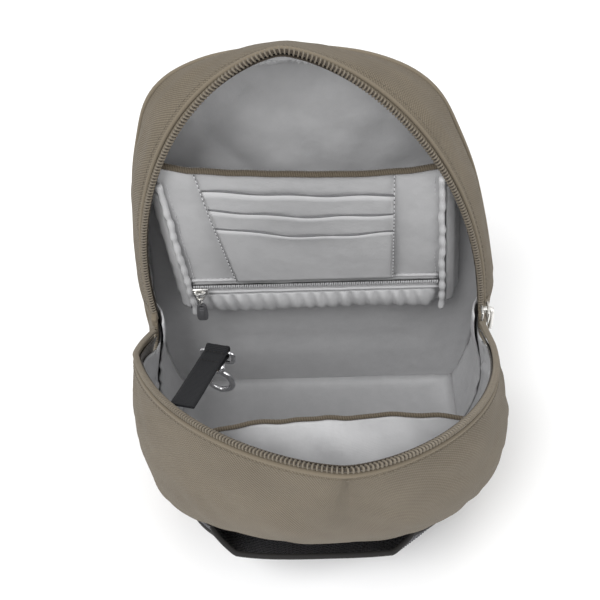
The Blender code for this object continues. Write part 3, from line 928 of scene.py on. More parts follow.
    def stitches(self, name: str, line: Sequence[Vector], normals: Sequence[Vector],
                 dye: Dye, length: float = 0.0026, gap: float = 0.0011,
                 radius: float = 0.00026, lift: float = 0.0001) -> bpy.types.Object:
        """A row of running stitches along a line on a surface.

        Args:
            name: the piece's name.
            line: the stitched line.
            normals: the way out at each point.
            dye: the finish.
            length: the length of a stitch.
            gap: the gap between two.
            radius: the thread's radius.
            lift: how far it stands off the cloth.

        Returns:
            The new object.
        """
        spots = []
        total = run_length(line)
        count = int(total / (length + gap))
        lengths = marks(line)
        for i in range(count):
            reach = (i + 0.5) * total / count
            spot = walk(line, reach)
            ahead = walk(line, min(reach + 0.0008, total))
            k = min(range(len(lengths)), key=lambda j: abs(lengths[j] - reach))
            tangent = (ahead - spot).normalized()
            out = (normals[k] - tangent * normals[k].dot(tangent)).normalized()
            side = out.cross(tangent)
            axes = Matrix((tangent, side, out)).transposed()
            spots.append((spot + out * lift, axes))
        return self.beads(name, spots, Vector((length / 2, radius, radius)), dye, 6, 4, 0.8)


# ---- the bag's surfaces

@dataclass(frozen=True)
class BagForm:
    """The bag's sewn shape: walls, two arched mouths and the flap that lies open."""

    back_y: float = 0.044
    base_front: float = -0.044
    base_half: float = 0.086
    wall_half: float = 0.099
    wall_full: float = 0.08
    bulge: float = 0.062
    bulge_z: float = 0.075
    corner: float = 3.2
    back_half: float = 0.0975
    back_top: float = 0.2615
    fold_y: float = 0.006
    fold_z: float = 0.107
    rim_half: float = 0.088
    back_rise: float = 0.1785
    front_rise: float = 0.1805
    rim_power: float = 1.5
    rise_power: float = 2.2
    swell: float = 0.005
    flap_angle: float = math.radians(57.0)
    skirt_angle: float = math.radians(114.5)
    back_lean: float = -0.085
    front_lean: float = 0.07
    chain: float = 0.0017
    rim_gap: float = 0.0004
    columns: int = 120

    def side_start(self) -> float:
        """Where the rounded front of the plan begins."""
        return self.fold_y - 0.004

    def lean(self, z: float) -> float:
        """Sideways drift of the back half at a level."""
        return self.back_lean * max(0.0, z - self.fold_z)

    def arch(self, rise: float, steps: int, start: float) -> list[tuple[float, float]]:
        """An arch as (across, up) pairs, left to right.

        Args:
            rise: its height.
            steps: how many steps.
            start: where it starts.

        Returns:
            The pairs.
        """
        points = []
        for i in range(steps + 1):
            angle = math.pi - start - (math.pi - 2 * start) * i / steps
            cosine = math.cos(angle)
            across = math.copysign(abs(cosine) ** (2 / self.rim_power), cosine)
            points.append((self.rim_half * across,
                           rise * math.sin(angle) ** (2 / self.rise_power)))
        return points

    def back_rim(self, steps: int, start: float = 0.022) -> list[Vector]:
        """The back arch of the mouth."""
        y = self.fold_y + self.chain + self.rim_gap
        return [Vector((x + self.lean(self.fold_z + h), y, self.fold_z + h))
                for x, h in self.arch(self.back_rise, steps, start)]

    def on_flap(self, across: float, out: float, below: float = 0.0) -> Vector:
        """A point across, out from the fold and below the mouth's plane."""
        sine, cosine = math.sin(self.flap_angle), math.cos(self.flap_angle)
        return Vector((across, self.fold_y - out * sine - below * cosine,
                       self.fold_z + out * cosine - below * sine))

    def front_rim(self, steps: int, start: float = 0.022) -> list[Vector]:
        """The lip of the flap.

        Args:
            steps: how many steps.
            start: where it starts.

        Returns:
            The points, left to right.
        """
        rim = []
        for x, out in self.arch(self.front_rise, steps, start):
            share = min(1.0, out / 0.04)
            wide = 1.0 + self.swell / self.rim_half * share
            drift = self.front_lean * (out - 0.09) * share
            rim.append(self.on_flap(x * wide + drift, out, self.chain + self.rim_gap))
        return rim

    def front_wall(self, z: float) -> float:
        """How far forward the middle of the front wall is at a level."""
        return self.base_front - self.bulge * (max(z, 0.0) / self.bulge_z) ** 0.7

    def half_width(self, z: float) -> float:
        """Half the bag's width at a level."""
        rise = 1 - (1 - min(z / self.wall_full, 1.0)) ** 2.5
        return self.base_half + (self.wall_half - self.base_half) * rise

    def pinch(self, y: float, z: float) -> float:
        """How far the zip's ends draw the sides in."""
        near = ((y - self.fold_y) / 0.022) ** 2 + ((z - self.fold_z) / 0.04) ** 2
        return 0.009 * math.exp(-near)

    def wall_point(self, angle: float, z: float) -> tuple[float, float]:
        """The outer wall in plan, from pi at the left round the front to 0.

        Args:
            angle: the angle in plan.
            z: the level.

        Returns:
            The place in plan.
        """
        cosine, sine = math.cos(angle), max(math.sin(angle), 0.0)
        power = 2 / self.corner
        start = self.side_start()
        y = start - (start - self.front_wall(z)) * sine ** power
        across = math.copysign(abs(cosine) ** power, cosine)
        return across * (self.half_width(z) - self.pinch(y, z)), y

    def wall_y(self, x: float, z: float) -> float:
        """The front wall's place at a width and level.

        Args:
            x: the place across.
            z: the level.

        Returns:
            The depth.
        """
        share = min(abs(x) / self.half_width(z), 1.0)
        depth = (1 - share ** self.corner) ** (1 / self.corner)
        start = self.side_start()
        return start - (start - self.front_wall(z)) * depth

    def skirt_level(self, y: float, drop: float) -> float:
        """The level of the flap's lower edge over a place in plan."""
        slope = math.tan(self.skirt_angle - math.pi / 2)
        return self.fold_z - drop - max(0.0, self.fold_y - y) * slope

    def skirt_point(self, angle: float, drop: float) -> Vector:
        """The wall where it meets the flap's lower edge.

        Args:
            angle: the angle in plan.
            drop: how far down the edge is set.

        Returns:
            The place.
        """
        z = 0.08
        for _ in range(12):
            x, y = self.wall_point(angle, z)
            z = self.skirt_level(y, drop)
        return Vector((x, y, z))

    def front_columns(self, levels_low: int = 14, levels_high: int = 34) -> Rows:
        """The whole front, from the base up the wall and on up the flap to the lip.

        Args:
            levels_low: steps up the wall.
            levels_high: steps up the flap.

        Returns:
            The columns, left to right.
        """
        rim = self.front_rim(self.columns)
        columns = []
        for c, top in enumerate(rim):
            angle = min(max(math.pi * (1 - c / self.columns), 0.02), math.pi - 0.02)
            foot = self.skirt_point(angle, 0.0018)
            frontness = math.sin(angle)
            column = []
            for level in range(levels_low):
                z = 0.0034 + (foot.z - 0.0034) * level / levels_low
                x, y = self.wall_point(angle, z)
                column.append(Vector((x, y, z)))
            side = Vector((math.cos(angle) * 0.8, -frontness, -0.25 * frontness))
            for level in range(levels_high + 1):
                share = level / levels_high
                swell = (0.003 + 0.0115 * frontness ** 2) * math.sin(math.pi * share)
                column.append(foot.lerp(top, share)
                              + side * swell * min(1.0, 12 * frontness))
            columns.append(column)
        return columns

    def front_rows(self, start: float, end: float, levels: int, skip: int = 0) -> Rows:
        """Part of the front between two distances from the lip, lowest row first."""
        return self.cut([column[::-1] for column in self.front_columns()],
                        start, end, levels, skip)[::-1]

    def cut(self, columns: Rows, start: float, end: float, levels: int,
            skip: int = 0) -> Rows:
        """Rows between two distances along columns that start at a rim.

        Args:
            columns: the columns, each from the rim.
            start: where it starts.
            end: where it ends.
            levels: how many levels.
            skip: columns left out at each end.

        Returns:
            The rows, nearest the rim first.
        """
        rows: Rows = [[] for _ in range(levels + 1)]
        for column in columns[skip:len(columns) - skip]:
            length = run_length(column)
            near, far = min(start, 0.4 * length), min(end, length)
            for level in range(levels + 1):
                rows[level].append(walk(column, near + (far - near) * level / levels))
        return rows

    def back_outline(self, y: float, shrink: float = 0.0) -> list[Vector]:
        """The back panel's arch at a depth, left to right.

        Args:
            y: the depth.
            shrink: how far inside the full outline.

        Returns:
            The points.
        """
        knots = [(self.back_half, self.fold_z), (0.093, 0.143), (0.0865, 0.181),
                 (0.0785, 0.209), (0.0695, 0.232), (0.057, 0.2465), (0.039, 0.256),
                 (0.019, 0.2605), (0.0, self.back_top)]
        half = smooth_run([Vector((x, 0.0, z)) for x, z in knots], 8)
        centre = Vector((0.0, 0.0, self.fold_z))
        half = [centre + (p - centre) * (1 - shrink / max((p - centre).length, 0.001))
                for p in half]
        ring = ([Vector((-p.x, 0.0, p.z)) for p in half][:-1]
                + [p.copy() for p in reversed(half)])
        return [Vector((p.x + self.lean(p.z), y, p.z)) for p in ring]

    def gusset_columns(self, edge_y: float = 0.042, steps: int = 22) -> Rows:
        """The band between the back arch and the back panel, column by column.

        Args:
            edge_y: the outer edge's depth.
            steps: how many steps.

        Returns:
            The columns, left to right.
        """
        rim = resample(self.back_rim(4 * self.columns), self.columns)
        edge = resample(self.back_outline(edge_y), self.columns)
        columns = []
        for near, far in zip(rim, edge):
            away = (far - Vector((self.lean(far.z), far.y, self.fold_z))).normalized()
            columns.append([near.lerp(far, s / steps)
                            + away * 0.004 * math.sin(math.pi * s / steps)
                            for s in range(steps + 1)])
        return columns

    def side_columns(self, side: int, low: float, steps: int = 10,
                     levels: int = 24, back: float = 0.042) -> Rows:
        """The standing side behind the fold, each column from its foot up.

        Args:
            side: -1 for the left, 1 for the right.
            low: the lowest level.
            steps: how many steps.
            levels: how many levels.
            back: where it meets the back.

        Returns:
            The columns, front to back.
        """
        columns = []
        gusset = self.gusset_columns()
        meet = gusset[0] if side < 0 else gusset[-1]
        for k in range(steps + 1):
            y = self.side_start() + (back - self.side_start()) * k / steps
            top = min(meet, key=lambda p: abs(p.y - y))
            column = []
            for level in range(levels + 1):
                z = low + (top.z - low) * level / levels
                x = side * (self.half_width(z) - self.pinch(y, z))
                share = smoothstep((z - 0.08) / max(top.z - 0.08, 0.001))
                column.append(Vector((x + (top.x - x) * share, y, z)))
            columns.append(column)
        return columns


FORM = BagForm()


@dataclass
class Piece:
    """One finished piece: its object, the body it rides on, its slot, the solids it stands
    for and whether it bends.
    """

    item: bpy.types.Object
    body: str
    slot: str
    replaces: tuple[str, ...] = ()
    bends: bool = False

    def place(self) -> None:
        """Ride or blend the piece, and hide the solids it stands for."""
        if self.bends:
            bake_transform(self.item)
        else:
            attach(self.item, self.body)
        if self.replaces:
            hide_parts(*self.replaces)
        LOG.info("%s rides on %s", self.item.name, "both" if self.bends else self.body)


@dataclass
class SubAssembly:
    """A group of pieces that are built and dressed together."""

    shop: Workshop
    pieces: list[Piece] = field(default_factory=list)
    slot: str = "lining"

    def keep(self, item: bpy.types.Object, *nodes: str, body: str = "root",
             slot: str = "", bends: bool = False) -> None:
        """Add a finished piece that stands for some of the frame's nodes."""
        self.pieces.append(Piece(item, body, slot or self.slot, nodes, bends))

    def turned_rows(self, columns: Rows, flip: bool) -> Rows:
        """Columns as rows, turned about when their outside would face in."""
        rows = [list(row) for row in zip(*columns)]
        return [row[::-1] if flip else row for row in rows]

    def build(self) -> None:
        """Make the pieces."""
        raise NotImplementedError

    def dress(self) -> None:
        """Place every piece."""
        for piece in self.pieces:
            piece.place()


def flat_map(item: bpy.types.Object, first: str, second: str) -> None:
    """Lay the cloth map straight down onto a flat panel.

    Args:
        item: the panel.
        first: the axis that runs across the cloth.
        second: the axis that runs along it.
    """
    layer = item.data.uv_layers[0]
    for loop in item.data.loops:
        place = item.data.vertices[loop.vertex_index].co
        layer.data[loop.index].uv = (getattr(place, first), getattr(place, second))


def wall_slack(u: float, v: float) -> float:
    """Soft unevenness of the outer cloth, in metres, calm at its lip and foot.

    Args:
        u: share across.
        v: share up.

    Returns:
        A depth in metres.
    """
    calm = smoothstep((1 - v) / 0.12) * smoothstep(v / 0.15)
    ends = math.exp(-(min(u, 1 - u) / 0.1) ** 2)
    broad = ripple(u * 5.0, v * 3.0, 1.7) * 0.0026
    small = (abs(ripple(u * 15.0 + v * 4.0, v * 5.0, 4.2)) - 0.2) * 0.0019
    pull = math.sin(min(u, 1 - u) * 150.0 + v * 9.0) * ends * 0.0008
    return calm * (broad + small + pull)


@dataclass
class OuterCloth(SubAssembly):
    """The stone twill outside: front, sides, back, base and the arched band."""

    slot: str = "fabric"
    fabric: float = 0.0015
    base: float = 0.0022
    edge_in: float = 0.0052
    roll: float = 0.00115
    stitch_in: float = 0.003

    def build(self) -> None:
        """Make every outer panel, its rolled edges and its top stitching."""
        form = FORM
        front = form.front_rows(self.edge_in, 0.4, 64)
        front = push(front, self._front_slack)
        self.keep(self.shop.grid("front_cloth", front, Dye.TWILL, self.fabric),
                  "front_panel", "lower_front_panel", bends=True)
        self._front_edge(front)
        self._band()
        for side, name in ((-1, "left"), (1, "right")):
            columns = form.side_columns(side, 0.0034)
            rows = self.turned_rows(columns, side < 0)
            rows = push(rows, self._side_depth)
            self.keep(self.shop.grid(f"side_cloth_{name}", rows, Dye.TWILL, self.fabric),
                      f"side_wall_{name}")
        self._back()
        self._base()

    def _side_depth(self, u: float, v: float) -> float:
        """Unevenness of a side."""
        return 0.0009 * ripple(u * 2, v * 7, 3.1) * math.sin(math.pi * v)

    def _front_slack(self, u: float, v: float) -> float:
        """Unevenness of the front, kept small where the mesh pocket lies on it."""
        low = smoothstep((v - 0.18) / 0.25)
        return max(wall_slack(u, v) * low, -0.003) + 0.0004 * ripple(u * 9, v * 9, 8.0)

    def _front_edge(self, front: Rows) -> None:
        """The rolled edge along the lip and the stitching below it.

        Args:
            front: the front's grid.
        """
        normals = grid_normals(front)
        top, out = front[-1], normals[-1]
        roll = [p - n * 0.0005 for p, n in zip(top, out)]
        self.keep(self.shop.tube("front_rolled_edge", roll, self.roll, Dye.TWILL, 8),
                  bends=True)
        line = self._below(front[::-1], self.stitch_in)
        self.keep(self.shop.stitches("front_top_stitch", line, normals[-3], Dye.THREAD),
                  bends=True)

    def _below(self, rows: Rows, reach: float) -> list[Vector]:
        """A line a fixed way down from the first row."""
        return [walk([row[c] for row in rows], reach) for c in range(len(rows[0]))]

    def _band(self) -> None:
        """The band from the back arch to the back panel, rounded over at its edge."""
        columns = FORM.gusset_columns()
        rows = FORM.cut(columns, self.edge_in - 0.0006, 0.4, 26)

        def slack(u: float, v: float) -> float:
            """Softness of the band at shares across and along it."""
            calm = smoothstep(v / 0.15) * smoothstep((1 - v) / 0.2)
            return (calm * (0.0012 * ripple(u * 11, v * 3, 5.5)
                            + 0.0006 * ripple(u * 30, v * 5, 2.5)))

        rows = push(rows, slack)
        self.keep(self.shop.grid("back_band", rows, Dye.TWILL, self.fabric), "back_gusset")
        normals = grid_normals(rows)
        roll = [p - n * 0.0005 for p, n in zip(rows[0], normals[0])]
        self.keep(self.shop.tube("back_rolled_edge", roll, self.roll, Dye.TWILL, 8))
        self.keep(self.shop.stitches("back_top_stitch", self._below(rows, self.stitch_in),
                                     normals[2], Dye.THREAD))

    def _back_ring(self, y: float, shrink: float) -> list[Vector]:
        """The back panel's whole outline at a depth.

        Args:
            y: the depth.
            shrink: how far inside the full outline.

        Returns:
            The closed outline.
        """
        arch = resample(FORM.back_outline(y, shrink), 110)
        lower = smooth_run([Vector((x, y, z)) for x, z in (
            (0.098, 0.1), (0.0988, 0.075), (0.0965, 0.04), (0.092, 0.014),
            (0.086, 0.004))], 6)
        scale = 1.0 - shrink / 0.11
        right = [Vector((p.x * scale, y, p.z + shrink * 0.6)) for p in lower]
        left = [Vector((-p.x, y, p.z)) for p in reversed(right)]
        return arch + right + left

    def _fan(self, rings: Sequence[Sequence[Vector]]) -> Rows:
        """Rings of points from the outside in, each closed on itself."""
        return [list(ring) + [ring[0].copy()] for ring in rings]

    def _back(self) -> None:
        """The flat back, gently padded, with its edge turned over and stitched."""
        y = FORM.back_y
        rings = [self._back_ring(y - 0.0032, -0.0004), self._back_ring(y - 0.0016, 0.0001),
                 self._back_ring(y - 0.0004, 0.001), self._back_ring(y, 0.0026)]
        inner = self._back_ring(y, 0.005)
        middle = Vector((0.0, y, 0.13))
        for k in range(14):
            share = 1.0 - k / 13.0
            crown = 0.0008 * (1 - share ** 3)
            rings.append([Vector((middle.x + (p.x - middle.x) * share,
                                  y + crown + 0.0004 * ripple(p.x * 40 * share,
                                                              p.z * 40 * share, 6.0),
                                  middle.z + (p.z - middle.z) * share)) for p in inner])
        item = self.shop.grid("back_cloth", self._fan(rings), Dye.TWILL, self.fabric)
        flat_map(item, "x", "z")
        self.keep(item, "back_panel")
        line = self._back_ring(y + 0.0004, 0.0062)
        normals = [Vector((0.0, 1.0, 0.0))] * len(line)
        self.keep(self.shop.stitches("back_edge_stitch", line, normals, Dye.THREAD))
        welt = self._back_ring(y - 0.003, -0.0006)
        self.keep(self.shop.tube("back_edge_welt", welt, 0.0012, Dye.TWILL, 8, closed=True))

    def _base(self) -> None:
        """The stiffened bottom with a soft turned edge."""
        edge = []
        for i in range(73):
            x, y = FORM.wall_point(math.pi * (1 - i / 72), 0.0)
            edge.append(Vector((x * 0.985, y + 0.001, 0.0)))
        edge += [Vector((0.0835, FORM.back_y - 0.002 - 0.009 * (1 - k / 6), 0.0))
                 for k in range(6)]
        edge += [Vector((0.083 - 0.166 * k / 24, FORM.back_y - 0.0015, 0.0))
                 for k in range(25)]
        rings = []
        for scale, z in ((1.005, 0.0042), (1.004, 0.0022), (0.997, 0.0007), (0.985, 0.0)):
            rings.append([Vector((p.x * scale, p.y * scale, z)) for p in edge])
        for k in range(8):
            scale = 0.96 * (1 - k / 7.0)
            rings.append([Vector((p.x * scale, p.y * scale, 0.0)) for p in edge])
        rows = [row[::-1] for row in self._fan(rings)]
        item = self.shop.grid("base_cloth", rows, Dye.TWILL, self.base)
        flat_map(item, "x", "y")
        self.keep(item, "base_panel")


@dataclass
class MainZip(SubAssembly):
    """The zip round the mouth: two chains of coil, their tapes, stop and slider."""

    slot: str = "steel"
    pitch: float = 0.002
    core: float = 0.0008
    fold: tuple[float, float] = (0.0019, 0.0072)
    tape: tuple[float, float] = (0.0014, 0.012)

    def build(self) -> None:
        """Make both sides of the zip and the hardware."""
        front_in = Vector((0.0, -math.cos(FORM.flap_angle), -math.sin(FORM.flap_angle)))
        back_in = Vector((0.0, 1.0, 0.0))
        back = FORM.back_rim(400, 0.012)
        front = FORM.front_rim(400, 0.012)
        self._chain("back", back, back_in, "root", False)
        self._chain("front", front, front_in, "front_flap", True)
        self._tapes()
        self._hardware()

    def _chain(self, name: str, rim: Sequence[Vector], inward: Vector, body: str,
               bends: bool) -> None:
        """One chain: coil teeth over a cord.

        Args:
            name: the piece's name.
            rim: the line the chain runs on.
            inward: the normal of the mouth's half.
            body: the body it rides on.
            bends: whether it bends with the flap.
        """
        total = run_length(rim)
        count = int(total / self.pitch)
        line = resample(rim, count)
        spots = []
        for i, spot in enumerate(line):
            tangent = (line[min(i + 1, count)] - line[max(i - 1, 0)]).normalized()
            outward = inward.cross(tangent).normalized()
            slant = (outward + tangent * 0.16).normalized()
            axes = Matrix((slant, tangent, slant.cross(tangent))).transposed()
            spots.append((spot, axes))
        teeth = self.shop.beads(f"{name}_coil", spots,
                                Vector((0.00165, 0.00048, 0.0013)), Dye.COIL, 8, 6, 0.7)
        self.keep(teeth, f"{name}_zip_chain", body=body, slot="chain", bends=bends)
        core = self.shop.tube(f"{name}_coil_core", line, self.core, Dye.TAPE, 6)
        self.keep(core, body=body, slot="chain", bends=bends)

    def _tapes(self) -> None:
        """The light fold beside each chain and the brown tape inside it."""
        front = [column[::-1] for column in FORM.front_columns()]
        for half, columns, step, bends in (("front", front, -1, True),
                                           ("back", FORM.gusset_columns(), 1, False)):
            outer = inset(FORM.cut(columns, *self.fold, 5)[::step], 0.0009)
            self.keep(self.shop.grid(f"{half}_zip_edge", outer, Dye.TAPE_LIGHT, 0.0007),
                      slot="tape", bends=bends)
            inner = inset(FORM.cut(columns, *self.tape, 6)[::step], 0.0025)
            self.keep(self.shop.grid(f"{half}_inner_tape", inner, Dye.TAPE, 0.0006),
                      f"{half}_zip_tape", slot="tape", bends=bends)

    def _hardware(self) -> None:
        """The left stop, the slider at the right and its looped pull."""
        middle, half = middle_of("zip_stop_left")
        stop = [self.shop.block("stop_block", middle, half * 2, Dye.TAPE_LIGHT, 0.001)]
        self.keep(self.shop.join("zip_end_stop", stop), "zip_stop_left", slot="chain")
        middle, half = middle_of("main_slider")
        size = half * 2
        plate = Vector((0.0013, size.y, size.z * 0.94))
        neck = Vector((size.x * 0.7, size.y * 0.34, size.z * 0.34))
        parts = [self.shop.block("part", middle + Vector((size.x * x, 0, size.z * z)),
                                 shape, Dye.PALE_METAL, bevel)
                 for x, z, shape, bevel in ((0.36, 0, plate, 0.0005),
                                            (-0.36, 0, plate, 0.0005),
                                            (0, 0.26, neck, 0.0006))]
        bridge = [middle + Vector((size.x * x, 0, size.z * z)) for x, z in (
            (0.42, 0.4), (0.62, 0.36), (0.78, 0.18), (0.78, -0.05), (0.62, -0.2),
            (0.42, -0.24))]
        parts.append(self.shop.tube("bridge", smooth_run(bridge, 4), 0.0008,
                                    Dye.PALE_METAL, 8, flatten=1.4))
        self.keep(self.shop.join("mouth_slider", parts), "main_slider", body="main_slider")
        middle, half = middle_of("main_puller")
        face = middle.x + half.x
        ring, hole = [], []
        for k in range(32):
            z, y = squared(TURN * k / 32, 0.75)
            taper = 1.0 - 0.16 * z
            ring.append(Vector((face, middle.y + half.y * 1.05 * y * taper,
                                middle.z + half.z * 1.03 * z)))
            hole.append(Vector((face, middle.y + half.y * 0.52 * y * taper,
                                middle.z + half.z * (0.72 * z - 0.02))))
        pull = self.shop.plate("pull_loop", ring, hole, Vector((-2 * half.x, 0, 0)),
                               Dye.PALE_METAL, 0.0004)
        self.keep(self.shop.join("mouth_pull", [pull]), "main_puller", body="main_pull")


def side_slack(side: int) -> Callable[[float, float], float]:
    """Softness of a side's lining.

    Args:
        side: -1 for the left, 1 for the right.

    Returns:
        A depth in metres from shares across and up the cloth.
    """
    def depth(u: float, v: float) -> float:
        """Depth at shares across and up the cloth."""
        return (-0.0024 * abs(ripple(u * 3.0, v * 9.0, 2.0 + side))
                * math.sin(math.pi * v))
    return depth


def lining_slack(seed: float, gather: float) -> Callable[[float, float], float]:
    """Puckers of a lining that is sewn along its edges.

    Args:
        seed: picks the pattern.
        gather: how strongly the sewn edge is gathered.

    Returns:
        A depth in metres from shares across and up the cloth.
    """
    def depth(u: float, v: float) -> float:
        """Depth at shares across and up the cloth.

        Args:
            u: share across.
            v: share up.

        Returns:
            A depth in metres.
        """
        fold = ripple(u * 42.0, v * 2.2, seed) * 0.0015 * gather
        broad = ripple(u * 7.0, v * 3.0, seed + 3.0) * 0.0016
        crease = abs(ripple(u * 13.0 + v * 5.0, v * 7.0, seed + 7.0)) * 0.003
        return -(fold + broad * 0.7 + crease) * smoothstep(min(v, 1 - v) / 0.06 + 0.25)
    return depth


@dataclass
class Lining(SubAssembly):
    """The grey satin inside, gathered where it is sewn to the zip."""

    cloth: float = 0.001
    trim: float = 0.0008
    gap: float = 0.004
    back_y: float = 0.0395
    band_edge: float = 0.0402
    floor_z: float = 0.0042

    def build(self) -> None:
        """Make the lining of the front, sides, back and base."""
        form = FORM
        columns = [c[::-1] for c in form.front_columns()]
        rows = form.cut(columns, 0.0092, 0.4, 56)[::-1]
        rows = inset(rows, self.gap)
        rows = push(rows, self._front_depth)
        self.keep(self.shop.grid("front_inside", rows, Dye.SATIN, self.cloth),
                  "front_lining", "wall_lining", bends=True)
        band = form.cut(form.gusset_columns(self.band_edge), 0.009, 0.4, 22)
        band = inset(band, self.gap)
        item = self.shop.grid("band_inside", push(band, lining_slack(5.0, 1.2)),
                              Dye.SATIN, self.cloth)
        self.keep(item, "gusset_lining")
        for side, name in ((-1, "left"), (1, "right")):
            column_set = form.side_columns(side, 0.005, back=0.04)
            rows = self.turned_rows(column_set, side < 0)
            rows = push(inset(rows, self.gap), side_slack(side))
            self.keep(self.shop.grid(f"side_inside_{name}", rows, Dye.SATIN, self.cloth))
        self._back_wall()
        self._floor()
        self._corners()
        self._gathered_edge()

    def _front_depth(self, u: float, v: float) -> float:
        """Puckers of the front's lining, flat behind the slip pocket.

        Args:
            u: share across.
            v: share up.

        Returns:
            A depth in metres.
        """
        puckers = lining_slack(11.0, 1.0)(u, v)
        behind = smoothstep((u - 0.2) / 0.06) * smoothstep((0.82 - u) / 0.06)
        high = smoothstep((v - 0.35) / 0.08) * smoothstep((0.96 - v) / 0.05)
        return puckers * (1 - 0.8 * behind * high)

    def _corners(self) -> None:
        """Cloth that carries on round each front corner behind the side seams."""
        for side, name in ((-1, "left"), (1, "right")):
            columns = []
            heights = [0.004 + 0.092 * s / 20 for s in range(21)]
            for k in range(6):
                y = FORM.side_start() + 0.014 * (1 - k / 5)
                columns.append([Vector((side * (FORM.half_width(z) - FORM.pinch(y, z)),
                                        y, z)) for z in heights])
            for angle in (0.03, 0.1, 0.18, 0.28, 0.4, 0.55):
                turn = angle if side > 0 else math.pi - angle
                high = FORM.skirt_point(turn, 0.0018).z
                column = []
                for s in range(21):
                    z = 0.004 + (high - 0.004) * s / 20
                    column.append(Vector((*FORM.wall_point(turn, z), z)))
                columns.append(column)
            rows = self.turned_rows(columns, side > 0)
            item = self.shop.grid(f"corner_inside_{name}", inset(rows, 0.003), Dye.SATIN,
                                  self.trim)
            self.keep(item, bends=True)

    def _back_wall(self) -> None:
        """The slack cloth over the inside of the back."""
        arch = resample(FORM.back_outline(self.back_y, 0.004), 110)
        lower = [Vector((x, self.back_y, z)) for x, z in (
            (0.095, 0.09), (0.0945, 0.06), (0.0925, 0.03), (0.088, 0.004))]
        ring = arch + lower + [Vector((-p.x, p.y, p.z)) for p in reversed(lower)]
        middle = Vector((0.0, self.back_y, 0.13))
        rows = []
        for k in range(30):
            share = 1.0 - k / 29.0
            row = []
            for p in ring:
                x = middle.x + (p.x - middle.x) * share
                z = middle.z + (p.z - middle.z) * share
                fold = 0.0042 * abs(ripple(x * 22 + z * 9, z * 17, 9.0))
                wave = 0.001 * ripple(x * 60, z * 60, 3.0)
                row.append(Vector((x, p.y - (fold + wave) * smoothstep((1 - share) / 0.1),
                                   z)))
            rows.append(row + [row[0].copy()])
        item = self.shop.grid("back_inside", [row[::-1] for row in rows], Dye.SATIN,
                              self.cloth)
        flat_map(item, "x", "z")
        self.keep(item, "back_lining")

    def _floor(self) -> None:
        """The lining that lies on the bottom."""
        edge = []
        for i in range(61):
            x, y = FORM.wall_point(math.pi * (1 - i / 60), 0.004)
            edge.append(Vector((x * 0.985, y * 0.965, 0.0)))
        edge += [Vector((0.084, 0.0396, 0.0)), Vector((0.0, 0.0398, 0.0)),
                 Vector((-0.084, 0.0396, 0.0))]
        rows = []
        for k in range(16):
            share = 1.0 - k / 15.0
            row = [Vector((p.x * share, p.y * share,
                           self.floor_z + 0.0012 * abs(ripple(p.x * share * 30,
                                                        p.y * share * 30, 1.0))
                           + 0.004 * smoothstep((share - 0.9) / 0.1)))
                   for p in edge]
            rows.append(row + [row[0].copy()])
        item = self.shop.grid("floor_inside", [row[::-1] for row in rows], Dye.SATIN,
                              self.trim)
        flat_map(item, "x", "y")
        self.keep(item, "base_lining")

    def _gathered_edge(self) -> None:
        """The ruched elastic under the top of the back arch."""
        columns = FORM.gusset_columns(self.band_edge)
        first, last = 42, 79
        fine = []
        for c in range(first * 4, last * 4):
            low, share = divmod(c, 4)
            fine.append([a.lerp(b, share / 4)
                         for a, b in zip(columns[low], columns[low + 1])])
        rows = inset(FORM.cut(fine, 0.011, 0.025, 8), 0.0056)

        def ruche(u: float, v: float) -> float:
            """Tight gathers, standing proud in the middle of the band."""
            wave = math.sin(u * 330.0 + 3.0 * math.sin(u * 41.0))
            return -(0.0009 * wave * math.sin(math.pi * v) + 0.0011 * math.sin(math.pi * v))

        self.keep(self.shop.grid("gathered_edge", push(rows, ruche), Dye.SATIN, self.trim),
                  "gathered_band")


